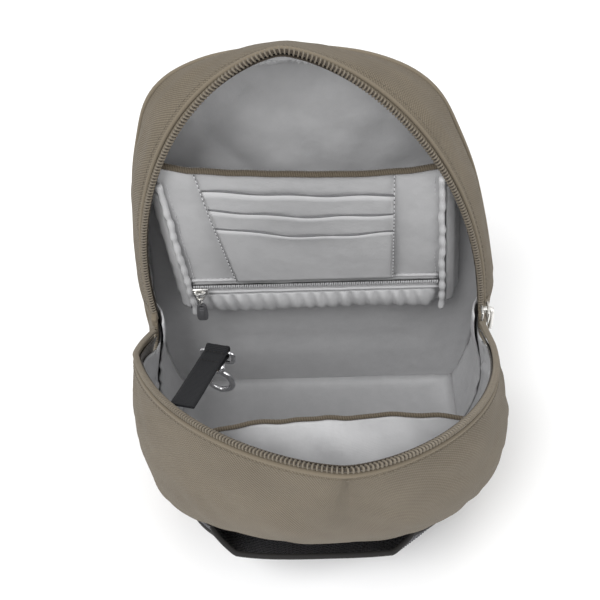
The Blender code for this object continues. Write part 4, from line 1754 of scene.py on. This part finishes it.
@dataclass
class Organiser(SubAssembly):
    """Passport pocket, card slots and a zipped pocket on the inside of the back."""

    half: float = 0.069
    top: float = 0.206
    zip_z: float = 0.123
    low: float = 0.099
    y_top: float = 0.015
    y_low: float = 0.0215
    slot_tops: tuple[float, ...] = (0.1895, 0.1765, 0.164)
    slot_low: float = 0.129
    slot_half: float = 0.047

    def at(self, x: float, z: float, out: float = 0.0) -> Vector:
        """A point on the organiser's leaning face, out being in front of it."""
        share = (z - self.low) / (self.top - self.low)
        y = self.y_low + (self.y_top - self.y_low) * share - out
        return Vector((x + FORM.lean(z), y, z))

    def top_wave(self, x: float) -> float:
        """How far the top edge sags or stands at a place across.

        Args:
            x: the place across.

        Returns:
            The rise in metres.
        """
        share = min(max((x + self.half) / (2 * self.half), 0.0), 1.0) * 6.999
        knots = (0.01, 0.0052, 0.003, 0.0016, 0.0006, 0.0002, 0.0014, 0.0044)
        step = int(share)
        return knots[step] + (knots[step + 1] - knots[step]) * smoothstep(share - step)

    def slot_edges(self, z: float) -> tuple[float, float]:
        """Where the stitch lines beside the card slots are at a level."""
        return (-0.0497 + 0.11 * (0.205 - z), 0.0449 - 0.045 * (0.205 - z))

    def build(self) -> None:
        """Make the sheets, slots, piping, zip and hanging bag."""
        self._sheet()
        self._slots()
        self._edges()
        self._zip()
        self._bag()
        self._puller()

    def _sheet_point(self, u: float, v: float) -> Vector:
        """A point of the main sheet.

        Args:
            u: share across.
            v: share up.

        Returns:
            The point.
        """
        x = self.half * (2 * u - 1)
        z = self.zip_z + 0.0042 + (self.top - self.zip_z - 0.0042) * v
        z += self.top_wave(x) * v ** 2
        slack = (0.0024 * abs(ripple(x * 24 + z * 12, z * 16, 2.0))
                 + 0.0005 * ripple(x * 70, z * 45, 7.0))
        beside = smoothstep((abs(x) - self.slot_half) / 0.01)
        return self.at(x, z, 0.0002 + slack * (0.35 + 0.65 * beside))

    def _sheet(self) -> None:
        """The main sheet, slack between its stitched lines."""
        rows = lattice(90, 44, self._sheet_point)
        self.keep(self.shop.grid("passport_pocket", rows, Dye.SATIN, 0.0009),
                  "organiser_sheet")
        binding = [self.at(self.half * (2 * c / 60 - 1), self.top + 0.0012
                           + self.top_wave(self.half * (2 * c / 60 - 1)), 0.0006)
                   for c in range(61)]
        item = self.shop.tube("pocket_binding", binding, 0.0019, Dye.BINDING, 10,
                              flatten=0.8)
        self.keep(item, "organiser_top_binding", slot="binding")

    def _slot_point(self, i: int, u: float, v: float) -> Vector:
        """A point of a card slot, bowed open at its mouth.

        Args:
            i: which slot.
            u: share across.
            v: share up.

        Returns:
            The point.
        """
        mouth = math.sin(math.pi * u) ** 1.4
        z = self.slot_low + (self.slot_tops[i] - self.slot_low) * v
        z += (0.0086 - 0.0062 * u - 0.0016 * i * mouth) * v ** 2
        z += 0.0005 * math.sin(u * 17 + i * 2) * v ** 4
        near, far = self.slot_edges(z)
        out = 0.0008 + 0.001 * (i + 1)
        out += 0.0016 * mouth * v ** 8 + 0.0004 * abs(ripple(u * 3, z * 30, i))
        return self.at(near + (far - near) * u, z, out)

    def _slots(self) -> None:
        """Three card slots whose mouths bow open a little, their stitch lines, and painted
        shade along those lines and inside the mouths.
        """
        for i in range(len(self.slot_tops)):
            rows = lattice(60, 18, lambda u, v: self._slot_point(i, u, v))
            self.keep(self.shop.grid(f"slot_{i + 1}", rows, Dye.SATIN, 0.0006),
                      f"card_slot_{i + 1}")
            self._mouth_shadow(i, rows[-1])
        heights = [self.top + 0.004 - 0.079 * k / 40 for k in range(41)]
        outs = [0.0014 + 0.0034 * smoothstep(k / 16) for k in range(41)]
        left = [self.at(self.slot_edges(z)[0], z, out) for z, out in zip(heights, outs)]
        right = [self.at(self.slot_edges(z)[1], z - 0.003 * (1 - k / 40), out)
                 for k, (z, out) in enumerate(zip(heights, outs))]
        normals = [Vector((0.0, -1.0, 0.0))] * 41
        for name, line in (("left", left), ("right", right)):
            item = self.shop.stitches(f"slot_stitch_{name}", line, normals, Dye.THREAD_GREY,
                                      0.0021, 0.0006, 0.00028)
            self.keep(item)
            # A thin dark cord just behind each stitch line: painted shade in the sewn
            # groove.
            groove = self.shop.tube(f"slot_groove_painted_shade_{name}",
                                    [p + Vector((0, 0.0001, 0)) for p in line], 0.0003,
                                    Dye.SHADE_PAINT, 5)
            self.keep(groove)

    def _mouth_shadow(self, i: int, edge: Sequence[Vector]) -> None:
        """A dark cord of painted shadow just inside a slot's mouth.

        Args:
            i: which slot.
            edge: the slot's mouth.
        """
        back = [p + Vector((0.0, 0.0009, 0.0004)) for p in edge]
        radii = [0.0002 + 0.0004 * abs(math.sin(k * 0.19 + i)) for k in range(len(back))]
        self.keep(self.shop.tube(f"slot_mouth_painted_shadow_{i + 1}", back, radii, Dye.SHADE_PAINT, 5))

    def _bellows(self, side: int, u: float, v: float) -> Vector:
        """A point of the folded cloth beside the organiser.

        Args:
            side: -1 for the left, 1 for the right.
            u: share from front to back.
            v: share up.

        Returns:
            The point.
        """
        z = 0.1015 + (0.196 - 0.1015) * v
        near = self.at(side * 0.07, z, -0.001)
        far = Vector((side * 0.076 + FORM.lean(z), 0.0385, z))
        middle = math.sin(math.pi * u)
        fold = 0.0034 * middle + 0.0014 * math.sin(TURN * 1.5 * u)
        fold += 0.0011 * ripple(u * 4, v * 16, 4.0 + side) * middle
        return near.lerp(far, u) + Vector((side * fold, 0.0, 0.0))

    def _edges(self) -> None:
        """Grey piping down both sides and the folded bellows behind it."""
        for side, name in ((-1, "left"), (1, "right")):
            edge = []
            for k in range(81):
                v = k / 80
                z = self.low + 0.001 + (self.top - self.low - 0.002) * v
                x = side * (self.half - 0.001) + 0.0007 * ripple(v * 9, side, 3.0)
                edge.append(self.at(x, z, 0.0022 + 0.0005 * ripple(v * 13, side, 8.0)))
            radii = [0.00165 + 0.00022 * math.sin(k * 0.9) + 0.0002 * ripple(k * 0.3, 1, 2)
                     for k in range(81)]
            # The piping and bellows use the lighter satin copy, painted light for the shine
            # on the organiser's sides.
            self.keep(self.shop.tube(f"side_piping_{name}", edge, radii, Dye.SATIN_PAINTED_LIGHT, 9),
                      f"organiser_piping_{name}")
            seam = [p + Vector((-side * 0.0034, 0.0016, 0.0)) for p in edge[22:]]
            normals = [Vector((0.0, -1.0, 0.0))] * len(seam)
            self.keep(self.shop.stitches(f"side_seam_{name}", seam, normals,
                                         Dye.THREAD_GREY, 0.002, 0.0009, 0.00024))
            rows = lattice(16, 48, lambda u, v: self._bellows(side, u, v))
            rows = [row if side < 0 else row[::-1] for row in rows]
            self.keep(self.shop.grid(f"bellows_{name}", rows, Dye.SATIN_PAINTED_LIGHT, 0.0008),
                      f"organiser_bellows_{name}")

    def _zip(self) -> None:
        """The pocket's zip: two tapes with rolled edges and a fine coil."""
        wide = self.half - 0.003
        for sign, name, node in ((1, "upper", "pocket_tape_upper"),
                                 (-1, "lower", "pocket_tape_lower")):
            rows = []
            for r in range(5):
                v = r / 4
                z = self.zip_z + sign * (0.0009 + 0.0042 * (v if sign > 0 else 1 - v))
                rows.append([self.at(wide * (2 * c / 60 - 1),
                                     z + 0.0003 * ripple(c * 0.16, sign, 2.0),
                                     0.0006 + 0.0004 * abs(ripple(c * 0.2, v, 5.0)))
                             for c in range(61)])
            self.keep(self.shop.grid(f"pocket_zip_tape_{name}", rows, Dye.SATIN_PAINTED_LIGHT, 0.0006),
                      node)
            roll = [self.at(wide * (2 * c / 60 - 1), self.zip_z + sign * 0.0052,
                            0.001 + 0.0003 * ripple(c * 0.21, sign, 7.0))
                    for c in range(61)]
            self.keep(self.shop.tube(f"pocket_zip_roll_{name}", roll, 0.0009, Dye.SATIN, 8))
            normals = [Vector((0.0, -1.0, 0.0))] * 61
            line = [self.at(wide * (2 * c / 60 - 1), self.zip_z + sign * 0.0066, 0.0012)
                    for c in range(61)]
            if sign > 0:
                self.keep(self.shop.stitches("pocket_zip_stitch", line, normals,
                                             Dye.THREAD_GREY, 0.002, 0.0009, 0.00022))
        spots = []
        count = int(2 * wide / 0.0012)
        for i in range(count):
            spot = self.at(wide * (2 * (i + 0.5) / count - 1), self.zip_z, 0.0019)
            spots.append((spot, Matrix.Rotation(math.radians(90 + 9 * (i % 2)), 3, "Y")))
        teeth = self.shop.beads("pocket_coil", spots, Vector((0.0013, 0.0007, 0.00045)),
                                Dye.COIL_GREY, 6, 5, 0.75)
        self.keep(teeth, "pocket_zip_coil")

    def _bag(self) -> None:
        """The slack bag that hangs behind and below the pocket's zip."""
        middle, half = middle_of("zip_pocket_bag")
        rows = []
        for r in range(25):
            v = r / 24
            angle = math.radians(-128 + 228 * v)
            row = []
            for c in range(221):
                u = c / 220
                x = middle.x + half.x * (2 * u - 1)
                drop = 0.0024 * math.sin(math.pi * u) + 0.0016 * math.sin(u * 8.0)
                ends = smoothstep(min(u, 1 - u) / 0.05)
                y = middle.y + half.y * math.sin(angle) * (0.4 + 0.6 * ends)
                z = middle.z - half.z * math.cos(angle) * (0.75 + 0.25 * ends)
                hang = smoothstep(v / 0.35)
                pleat = math.sin(u * 118.0 - 9.0 * v + 2.4 * ripple(u * 6, v * 2, 1.0))
                gather = 0.0012 * pleat * (0.55 + abs(ripple(u * 9, v, 4.0)))
                gather *= smoothstep(v / 0.08) * (1 - hang * 0.35)
                soft = 0.001 * ripple(u * 6 - v * 2, v * 2.4, 6.0) * hang
                row.append(Vector((x, y - gather - soft, z - drop * hang + 0.0012)))
            rows.append(row)
        self.keep(self.shop.grid("hanging_pocket", rows, Dye.SATIN, 0.0008, 0.0),
                  "zip_pocket_bag")

    def _puller(self) -> None:
        """The small slider, its two metal links and its soft tab."""
        middle, half = middle_of("pocket_slider")
        size = half * 2
        body = [
            self.shop.block("plate", middle, Vector((size.x, size.y * 0.55, size.z * 0.9)),
                            Dye.PALE_METAL, 0.0006),
            self.shop.tube("saddle", smooth_run([
                middle + Vector((size.x * x, size.y * y, 0)) for x, y in (
                    (-0.36, -0.2), (-0.26, -0.75), (0.05, -0.8), (0.3, -0.2))], 5),
                0.00065, Dye.PALE_METAL, 8),
        ]
        self.keep(self.shop.join("small_slider", body),
                  "pocket_slider", body="pocket_slider", slot="steel")
        middle, half = middle_of("pocket_link")
        loops = []
        for k, (up, wide, tall) in enumerate(((0.42, 1.05, 0.6), (-0.42, 0.9, 0.52))):
            ring = []
            for s in range(24):
                angle = TURN * s / 24
                spin = Vector((half.x * wide * math.cos(angle), 0.0,
                               half.z * (up + tall * math.sin(angle))))
                if k == 1:
                    spin = Vector((spin.x * 0.5, spin.x * 0.8, spin.z))
                ring.append(middle + spin)
            loops.append(self.shop.tube(f"loop{k}", ring, 0.00055 - 0.00012 * k,
                                        Dye.PALE_METAL, 8, closed=True))
        self.keep(self.shop.join("small_links", loops),
                  "pocket_link", body="pocket_link", slot="steel")
        middle, half = middle_of("pocket_tab")
        face = middle.y + half.y
        ring, hole = [], []
        for s in range(32):
            angle = TURN * s / 32
            x, z = squared(angle, 0.55)
            ring.append(Vector((middle.x + half.x * 1.12 * x * (1 - 0.1 * z), face,
                                middle.z + half.z * z)))
            hole.append(Vector((middle.x + half.x * 0.5 * math.cos(angle), face,
                                middle.z + half.z * (0.76 + 0.15 * math.sin(angle)))))
        tab = self.shop.plate("tab", ring, hole, Vector((0, -2 * half.y, 0)), Dye.RUBBER,
                              0.0004)
        rib = self.shop.block("rib", Vector((middle.x, middle.y - half.y - 0.0001,
                                             middle.z - half.z * 0.15)),
                              Vector((half.x * 1.0, 0.0006, half.z * 1.1)), Dye.RUBBER,
                              0.00025)
        self.keep(self.shop.join("small_tab", [tab, rib]),
                  "pocket_tab", body="pocket_tab", slot="rubber")


@dataclass
class SlipPocket(SubAssembly):
    """The slack pocket inside the open front, with its wavy bound edge."""

    first: int = 30
    last: int = 93

    def build(self) -> None:
        """Make the pocket, its binding, its side piping and seams."""
        columns = FORM.front_columns()
        fine = [column[14:] for column in columns]
        count = len(fine[0]) - 1
        levels = 26
        rows = []
        for level in range(levels + 1):
            share = level / levels
            where = (0.12 + (0.9 - 0.12) * share) * count
            k = min(int(where), count - 1)
            rows.append([column[k].lerp(column[k + 1], where - k) for column in fine])
        cloth = inset(rows, 0.006)
        bow = FORM.on_flap(0.0, -0.012) - FORM.on_flap(0.0, 0.0)
        pocket = []
        for level, row in enumerate(cloth):
            share = level / levels
            run = row[self.first:self.last + 1]
            line = []
            for i, on_lining in enumerate(run):
                across = i / (len(run) - 1)
                chord = run[0].lerp(run[-1], across) + bow * math.sin(math.pi * across)
                spot = on_lining.lerp(chord, share ** 1.3)
                wave = 0.001 * math.sin(across * 9.0) + 0.0003 * math.sin(across * 31.0)
                lift = Vector((0.0, wave * 0.8, wave * 0.5)) * share ** 3
                sag = 0.0026 * ripple(across * 9 + share * 2, share * 4, 5.0)
                sag *= math.sin(math.pi * across) ** 0.5
                line.append(spot + lift + Vector((0.0, sag, 0.0)))
            pocket.append(line)
        self.keep(self.shop.grid("slip_pocket_cloth", pocket, Dye.SATIN, 0.0009),
                  "slip_pocket", bends=True)
        edge = pocket[-1]
        self.keep(self.shop.tube("slip_pocket_edge", edge, 0.00115, Dye.BINDING, 9),
                  "slip_pocket_binding", slot="binding", bends=True)
        for index, name in ((self.first, "left"), (self.last, "right")):
            seam = [row[index] for row in inset(rows, 0.0052)][-9:]
            tip = FORM.cut([c[::-1] for c in columns], 0.01, 0.012, 1)[1][index]
            seam = seam + [seam[-1].lerp(tip, 0.8)]
            seam = resample(seam, 24)
            radii = [0.001 + 0.0002 * math.sin(k * 1.1) for k in range(25)]
            item = self.shop.tube(f"slip_pocket_side_{name}", seam, radii, Dye.SATIN_PAINTED_LIGHT, 8)
            nodes = ("slip_pocket_piping",) if name == "right" else ()
            self.keep(item, *nodes, bends=True)


@dataclass
class MeshPocket(SubAssembly):
    """The black elastic pocket low on the outside of the front."""

    slot: str = "mesh"
    low: float = 0.0105
    rim: float = 0.06
    reach: float = 0.012

    def surface(self, u: float, v: float, proud: float = 0.0) -> Vector:
        """A point of the pocket from shares across and up it.

        Args:
            u: share across.
            v: share up.
            proud: how far it stands off.

        Returns:
            The point.
        """
        z = self.low + (self.rim - 0.0012 - self.low) * v
        wide = -0.08 + 0.16 * u
        rim = -0.0585 + 0.105 * u
        x = wide + (rim - wide) * v
        edge = min(u, 1 - u)
        stand = 0.0016 + self.reach * math.sqrt(v) * min(1.0, edge / 0.12) ** 0.7
        return Vector((x, FORM.wall_y(x, z) - stand - proud, z))

    def knitted(self, u: float, v: float) -> Vector:
        """A point of the knitted face, from shares across and up it."""
        knot = math.sin(u * math.pi * 62.0) ** 2
        knot *= math.sin(v * math.pi * 21.0 + (math.pi / 2) * (int(u * 62) % 2)) ** 2
        return self.surface(u, v, 0.0011 * knot - 0.0003)

    def build(self) -> None:
        """Make the knitted face, its plain rim and its side bindings."""
        rows = lattice(250, 84, self.knitted)
        self.keep(self.shop.grid("mesh_pocket_face", rows, Dye.MESH, 0.0008), "mesh_pocket")
        rim = [self.surface(k / 80, 1.0) + Vector((0.0, 0.0003, 0.0012)) for k in range(81)]
        item = self.shop.tube("mesh_pocket_rim", rim, 0.0014, Dye.MESH_EDGE, 9, flatten=1.2)
        self.keep(item, "mesh_pocket_binding")
        for side, u in (("left", 0.012), ("right", 0.988)):
            line = [self.surface(u, k / 30) + Vector((0.0, -0.0004, 0.0))
                    for k in range(31)]
            self.keep(self.shop.tube(f"mesh_pocket_side_{side}", line, 0.001,
                                     Dye.MESH_EDGE, 8))
        line = [self.surface(k / 90, 0.0) + Vector((0.0, -0.0004, -0.0004))
                for k in range(91)]
        self.keep(self.shop.tube("mesh_pocket_seam", line, 0.0011, Dye.MESH_EDGE, 8))


@dataclass
class KeyLeash(SubAssembly):
    """The black strap with its sewn loop, steel eye, swivel and snap hook."""

    slot: str = "webbing"
    root: Vector = field(default_factory=lambda: Vector((-0.064, -0.08, 0.157)))
    end: Vector = field(default_factory=lambda: Vector((-0.0525, -0.03, 0.129)))
    width: float = 0.012
    webbing: float = 0.0011
    eye_half: float = 0.0082
    eye_drop: float = 0.0075
    eye_corner: float = 0.0022
    hook_top: float = 0.0111

    def ring_at(self, u: float, v: float, w: float = 0.0) -> Vector:
        """A place beside, below and in front of the strap's end, in the hook's plane."""
        return self.end + self.side * u + Vector((0.0, 0.0, -v)) + self.front * w

    def build(self) -> None:
        """Make the strap and the metal that hangs from it."""
        along = (self.end - self.root).normalized()
        across = along.cross(Vector((0.0, 0.0, 1.0))).normalized()
        face = across.cross(along).normalized()
        self.side = Vector((across.x, across.y, 0.0)).normalized()
        self.front = Vector((self.side.y, -self.side.x, 0.0))
        self._strap(along, across, face)
        self._eye()
        self._hook()

    def _strap(self, along: Vector, across: Vector, face: Vector) -> None:
        """Webbing that runs to the eye, round it and back under itself.

        Args:
            along: the strap's direction.
            across: the direction or place across.
            face: its upper side.
        """
        length = (self.end - self.root).length
        tip = self.end
        upper = [self.root + along * (length * k / 14) + face * 0.0012 * smoothstep(k / 14)
                 for k in range(-1, 14)]
        loop = [tip + along * (0.003 * math.sin(a)) + face * (0.003 * math.cos(a))
                for a in [math.pi * k / 10 for k in range(11)]]
        under = [tip - along * (0.004 + 0.003 * k) - face * (0.0021 - 0.0002 * k)
                 for k in range(6)]
        path = upper + loop + under
        item = self.shop.ribbon("key_strap", path, across, self.width, self.webbing,
                                Dye.WEBBING)
        self.keep(item, "leash_strap", body="key_leash")
        for name, back in (("near", 0.0062), ("far", 0.017)):
            line = [tip - along * back + across * (self.width * (k / 12 - 0.5) * 0.86)
                    + face * 0.0024 for k in range(13)]
            self.keep(self.shop.stitches(f"strap_stitch_{name}", line, [face] * 13,
                                         Dye.MESH_EDGE, 0.0014, 0.0006, 0.00028),
                      body="key_leash")
        hem = [tip - along * 0.0192 + across * (self.width * (k / 12 - 0.5) * 0.94)
               - face * 0.0012 for k in range(13)]
        self.keep(self.shop.tube("strap_cut_edge", hem, 0.0006, Dye.BINDING, 6),
                  body="key_leash")

    def _turned(self, name: str, levels: Sequence[tuple[float, float]]) -> bpy.types.Object:
        """A turned metal part on the hook's axis, from pairs of level and radius."""
        return self.shop.tube(name, [self.ring_at(0.0, v) for v, _ in levels],
                              [r for _, r in levels], Dye.NICKEL, 20)

    def _eye(self) -> None:
        """The rectangular eye in the strap's loop, with the swivel's barrel under it."""
        half, drop, corner = self.eye_half, self.eye_drop, self.eye_corner
        ring = []
        wide, tall = half - corner, drop - corner
        for cu, cv, first in ((wide, corner, -90), (wide, tall, 0), (-wide, tall, 90),
                              (-wide, corner, 180)):
            for step in range(7):
                angle = math.radians(first + 15 * step)
                ring.append(self.ring_at(cu + corner * math.cos(angle),
                                         cv + corner * math.sin(angle)))
        loop = self.shop.tube("eye", ring, 0.0012, Dye.NICKEL, 12, closed=True)
        levels = [(drop - 0.0006, 0.0018), (drop + 0.0002, 0.0029), (drop + 0.001, 0.0031),
                  (drop + 0.0016, 0.0025), (drop + 0.0028, 0.0025), (drop + 0.0034, 0.0032),
                  (drop + 0.0044, 0.003), (drop + 0.0046, 0.0019)]
        eye = self.shop.join("strap_eye", [loop, self._turned("barrel", levels)])
        self.keep(eye, "swivel_eye", body="swivel_eye", slot="steel")

    def _hook(self) -> None:
        """The snap hook that turns in the barrel, and its sprung gate with a thumb stud."""
        top = self.hook_top
        knots = [(0.0, top - 0.001), (0.0, top + 0.004), (0.0006, top + 0.0058),
                 (0.0044, top + 0.009), (0.0062, top + 0.014), (0.005, top + 0.019),
                 (0.0, top + 0.0216), (-0.0046, top + 0.0196), (-0.0058, top + 0.0166)]
        path = smooth_run([self.ring_at(u, v) for u, v in knots], 8)
        count = len(path)
        radii = [0.00165 - 0.0004 * smoothstep((k / count - 0.55) / 0.4) for k in
                 range(count)]
        body = self.shop.tube("bend", path, radii, Dye.NICKEL, 14)
        levels = [(top + 0.0024, 0.002), (top + 0.0028, 0.003), (top + 0.0036, 0.0033),
                  (top + 0.0044, 0.003), (top + 0.005, 0.0019)]
        collar = self._turned("collar", levels)
        rivet = self.shop.tube("rivet", [self.ring_at(-0.0028, top + 0.0062, w)
                                         for w in (-0.0019, -0.0016, 0.0016, 0.0019)],
                               [0.0006, 0.0011, 0.0011, 0.0006], Dye.NICKEL, 14)
        self.keep(self.shop.join("leash_hook", [body, collar, rivet]),
                  "snap_hook", body="snap_hook", slot="steel")
        gate_line = smooth_run([self.ring_at(-0.003, top + 0.0064),
                                self.ring_at(-0.0046, top + 0.01),
                                self.ring_at(-0.0058, top + 0.0146)], 6)
        gate = self.shop.tube("arm", gate_line, 0.00105, Dye.NICKEL, 12)
        stud = self.shop.tube("stud", [self.ring_at(-0.0046 - w, top + 0.0104)
                                       for w in (0.0004, 0.0016, 0.0026, 0.0029)],
                              [0.0008, 0.0008, 0.0013, 0.0009], Dye.NICKEL, 14)
        self.keep(self.shop.join("hook_gate_arm", [gate, stud]),
                  "hook_gate", body="hook_gate", slot="steel")


# ---- the room

@dataclass(frozen=True)
class Lamp:
    """One soft area light."""

    name: str
    place: Vector
    target: Vector
    size: float
    power: float

    def hang(self) -> None:
        """Put the light in the scene."""
        data = bpy.data.lights.new(self.name, "AREA")
        data.shape = "DISK"
        data.size = self.size
        data.energy = self.power
        item = put_in_scene(self.name, data)
        item.location = self.place
        item.rotation_euler = (self.place - self.target).to_track_quat("Z", "Y").to_euler()


@dataclass
class Studio:
    """Pale floor, soft light and the camera."""

    elevation: float = math.radians(50.0)
    roll: float = math.radians(1.5)
    place: Vector = field(default_factory=lambda: Vector((-0.01, -0.3687, 0.5714)))
    lens: float = 66.0

    def build(self) -> None:
        """Make the room."""
        self._floor()
        self._world()
        aim = Vector((0.0, -0.04, 0.12))
        for lamp in (Lamp("key", Vector((-0.55, -0.75, 1.35)), aim, 0.75, 17.0),
                     Lamp("fill", Vector((0.95, -0.55, 0.95)), aim, 0.9, 6.0),
                     Lamp("top", Vector((0.05, 0.35, 1.55)), aim, 1.1, 4.5)):
            lamp.hang()
        self._camera()

    def _floor(self) -> None:
        """A wide pale floor."""
        data = bpy.data.meshes.new("floor")
        build = bmesh.new()
        bmesh.ops.create_grid(build, x_segments=8, y_segments=8, size=8.0)
        build.to_mesh(data)
        build.free()
        graph = Graph("pale_floor")
        data.materials.append(graph.finish({"Base Color": (0.93, 0.93, 0.93, 1.0),
                                            "Roughness": 0.9, "Specular IOR Level": 0.1}))
        item = put_in_scene("floor", data)
        item.location = (0.0, 0.0, -0.0003)

    def _world(self) -> None:
        """Even white light from all round."""
        world = bpy.data.worlds.new("studio")
        bpy.context.scene.world = world
        world.use_nodes = True
        sky = world.node_tree.nodes["Background"]
        sky.inputs["Color"].default_value = (1.0, 1.0, 1.0, 1.0)
        sky.inputs["Strength"].default_value = 0.66

    def _camera(self) -> None:
        """The camera, looking steeply down into the open mouth."""
        data = bpy.data.cameras.new("camera")
        data.sensor_width = 36.0
        data.lens = self.lens
        data.clip_start = 0.01
        item = put_in_scene("camera", data)
        level_up = Vector((0.0, math.sin(self.elevation), math.cos(self.elevation)))
        ahead = Vector((0.0, math.cos(self.elevation), -math.sin(self.elevation)))
        level_right = Vector((1.0, 0.0, 0.0))
        up = level_up * math.cos(self.roll) + level_right * math.sin(self.roll)
        right = level_right * math.cos(self.roll) - level_up * math.sin(self.roll)
        item.matrix_world = Matrix.Translation(self.place) @ Matrix(
            (right, up, -ahead)).transposed().to_4x4()
        bpy.context.scene.camera = item


def main() -> None:
    """Build the bag around its frame, piece by piece."""
    logging.basicConfig(level=logging.INFO, format="%(name)s: %(message)s")
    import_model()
    bpy.context.scene.view_settings.view_transform = "Standard"
    shop = Workshop(Dyer())
    for kind in (OuterCloth, MainZip, Lining, Organiser, SlipPocket, MeshPocket, KeyLeash):
        group = kind(shop)
        group.build()
        group.dress()
        LOG.info("%s: %d pieces", kind.__name__, len(group.pieces))
    Studio().build()


if __name__ == "__main__":
    main()
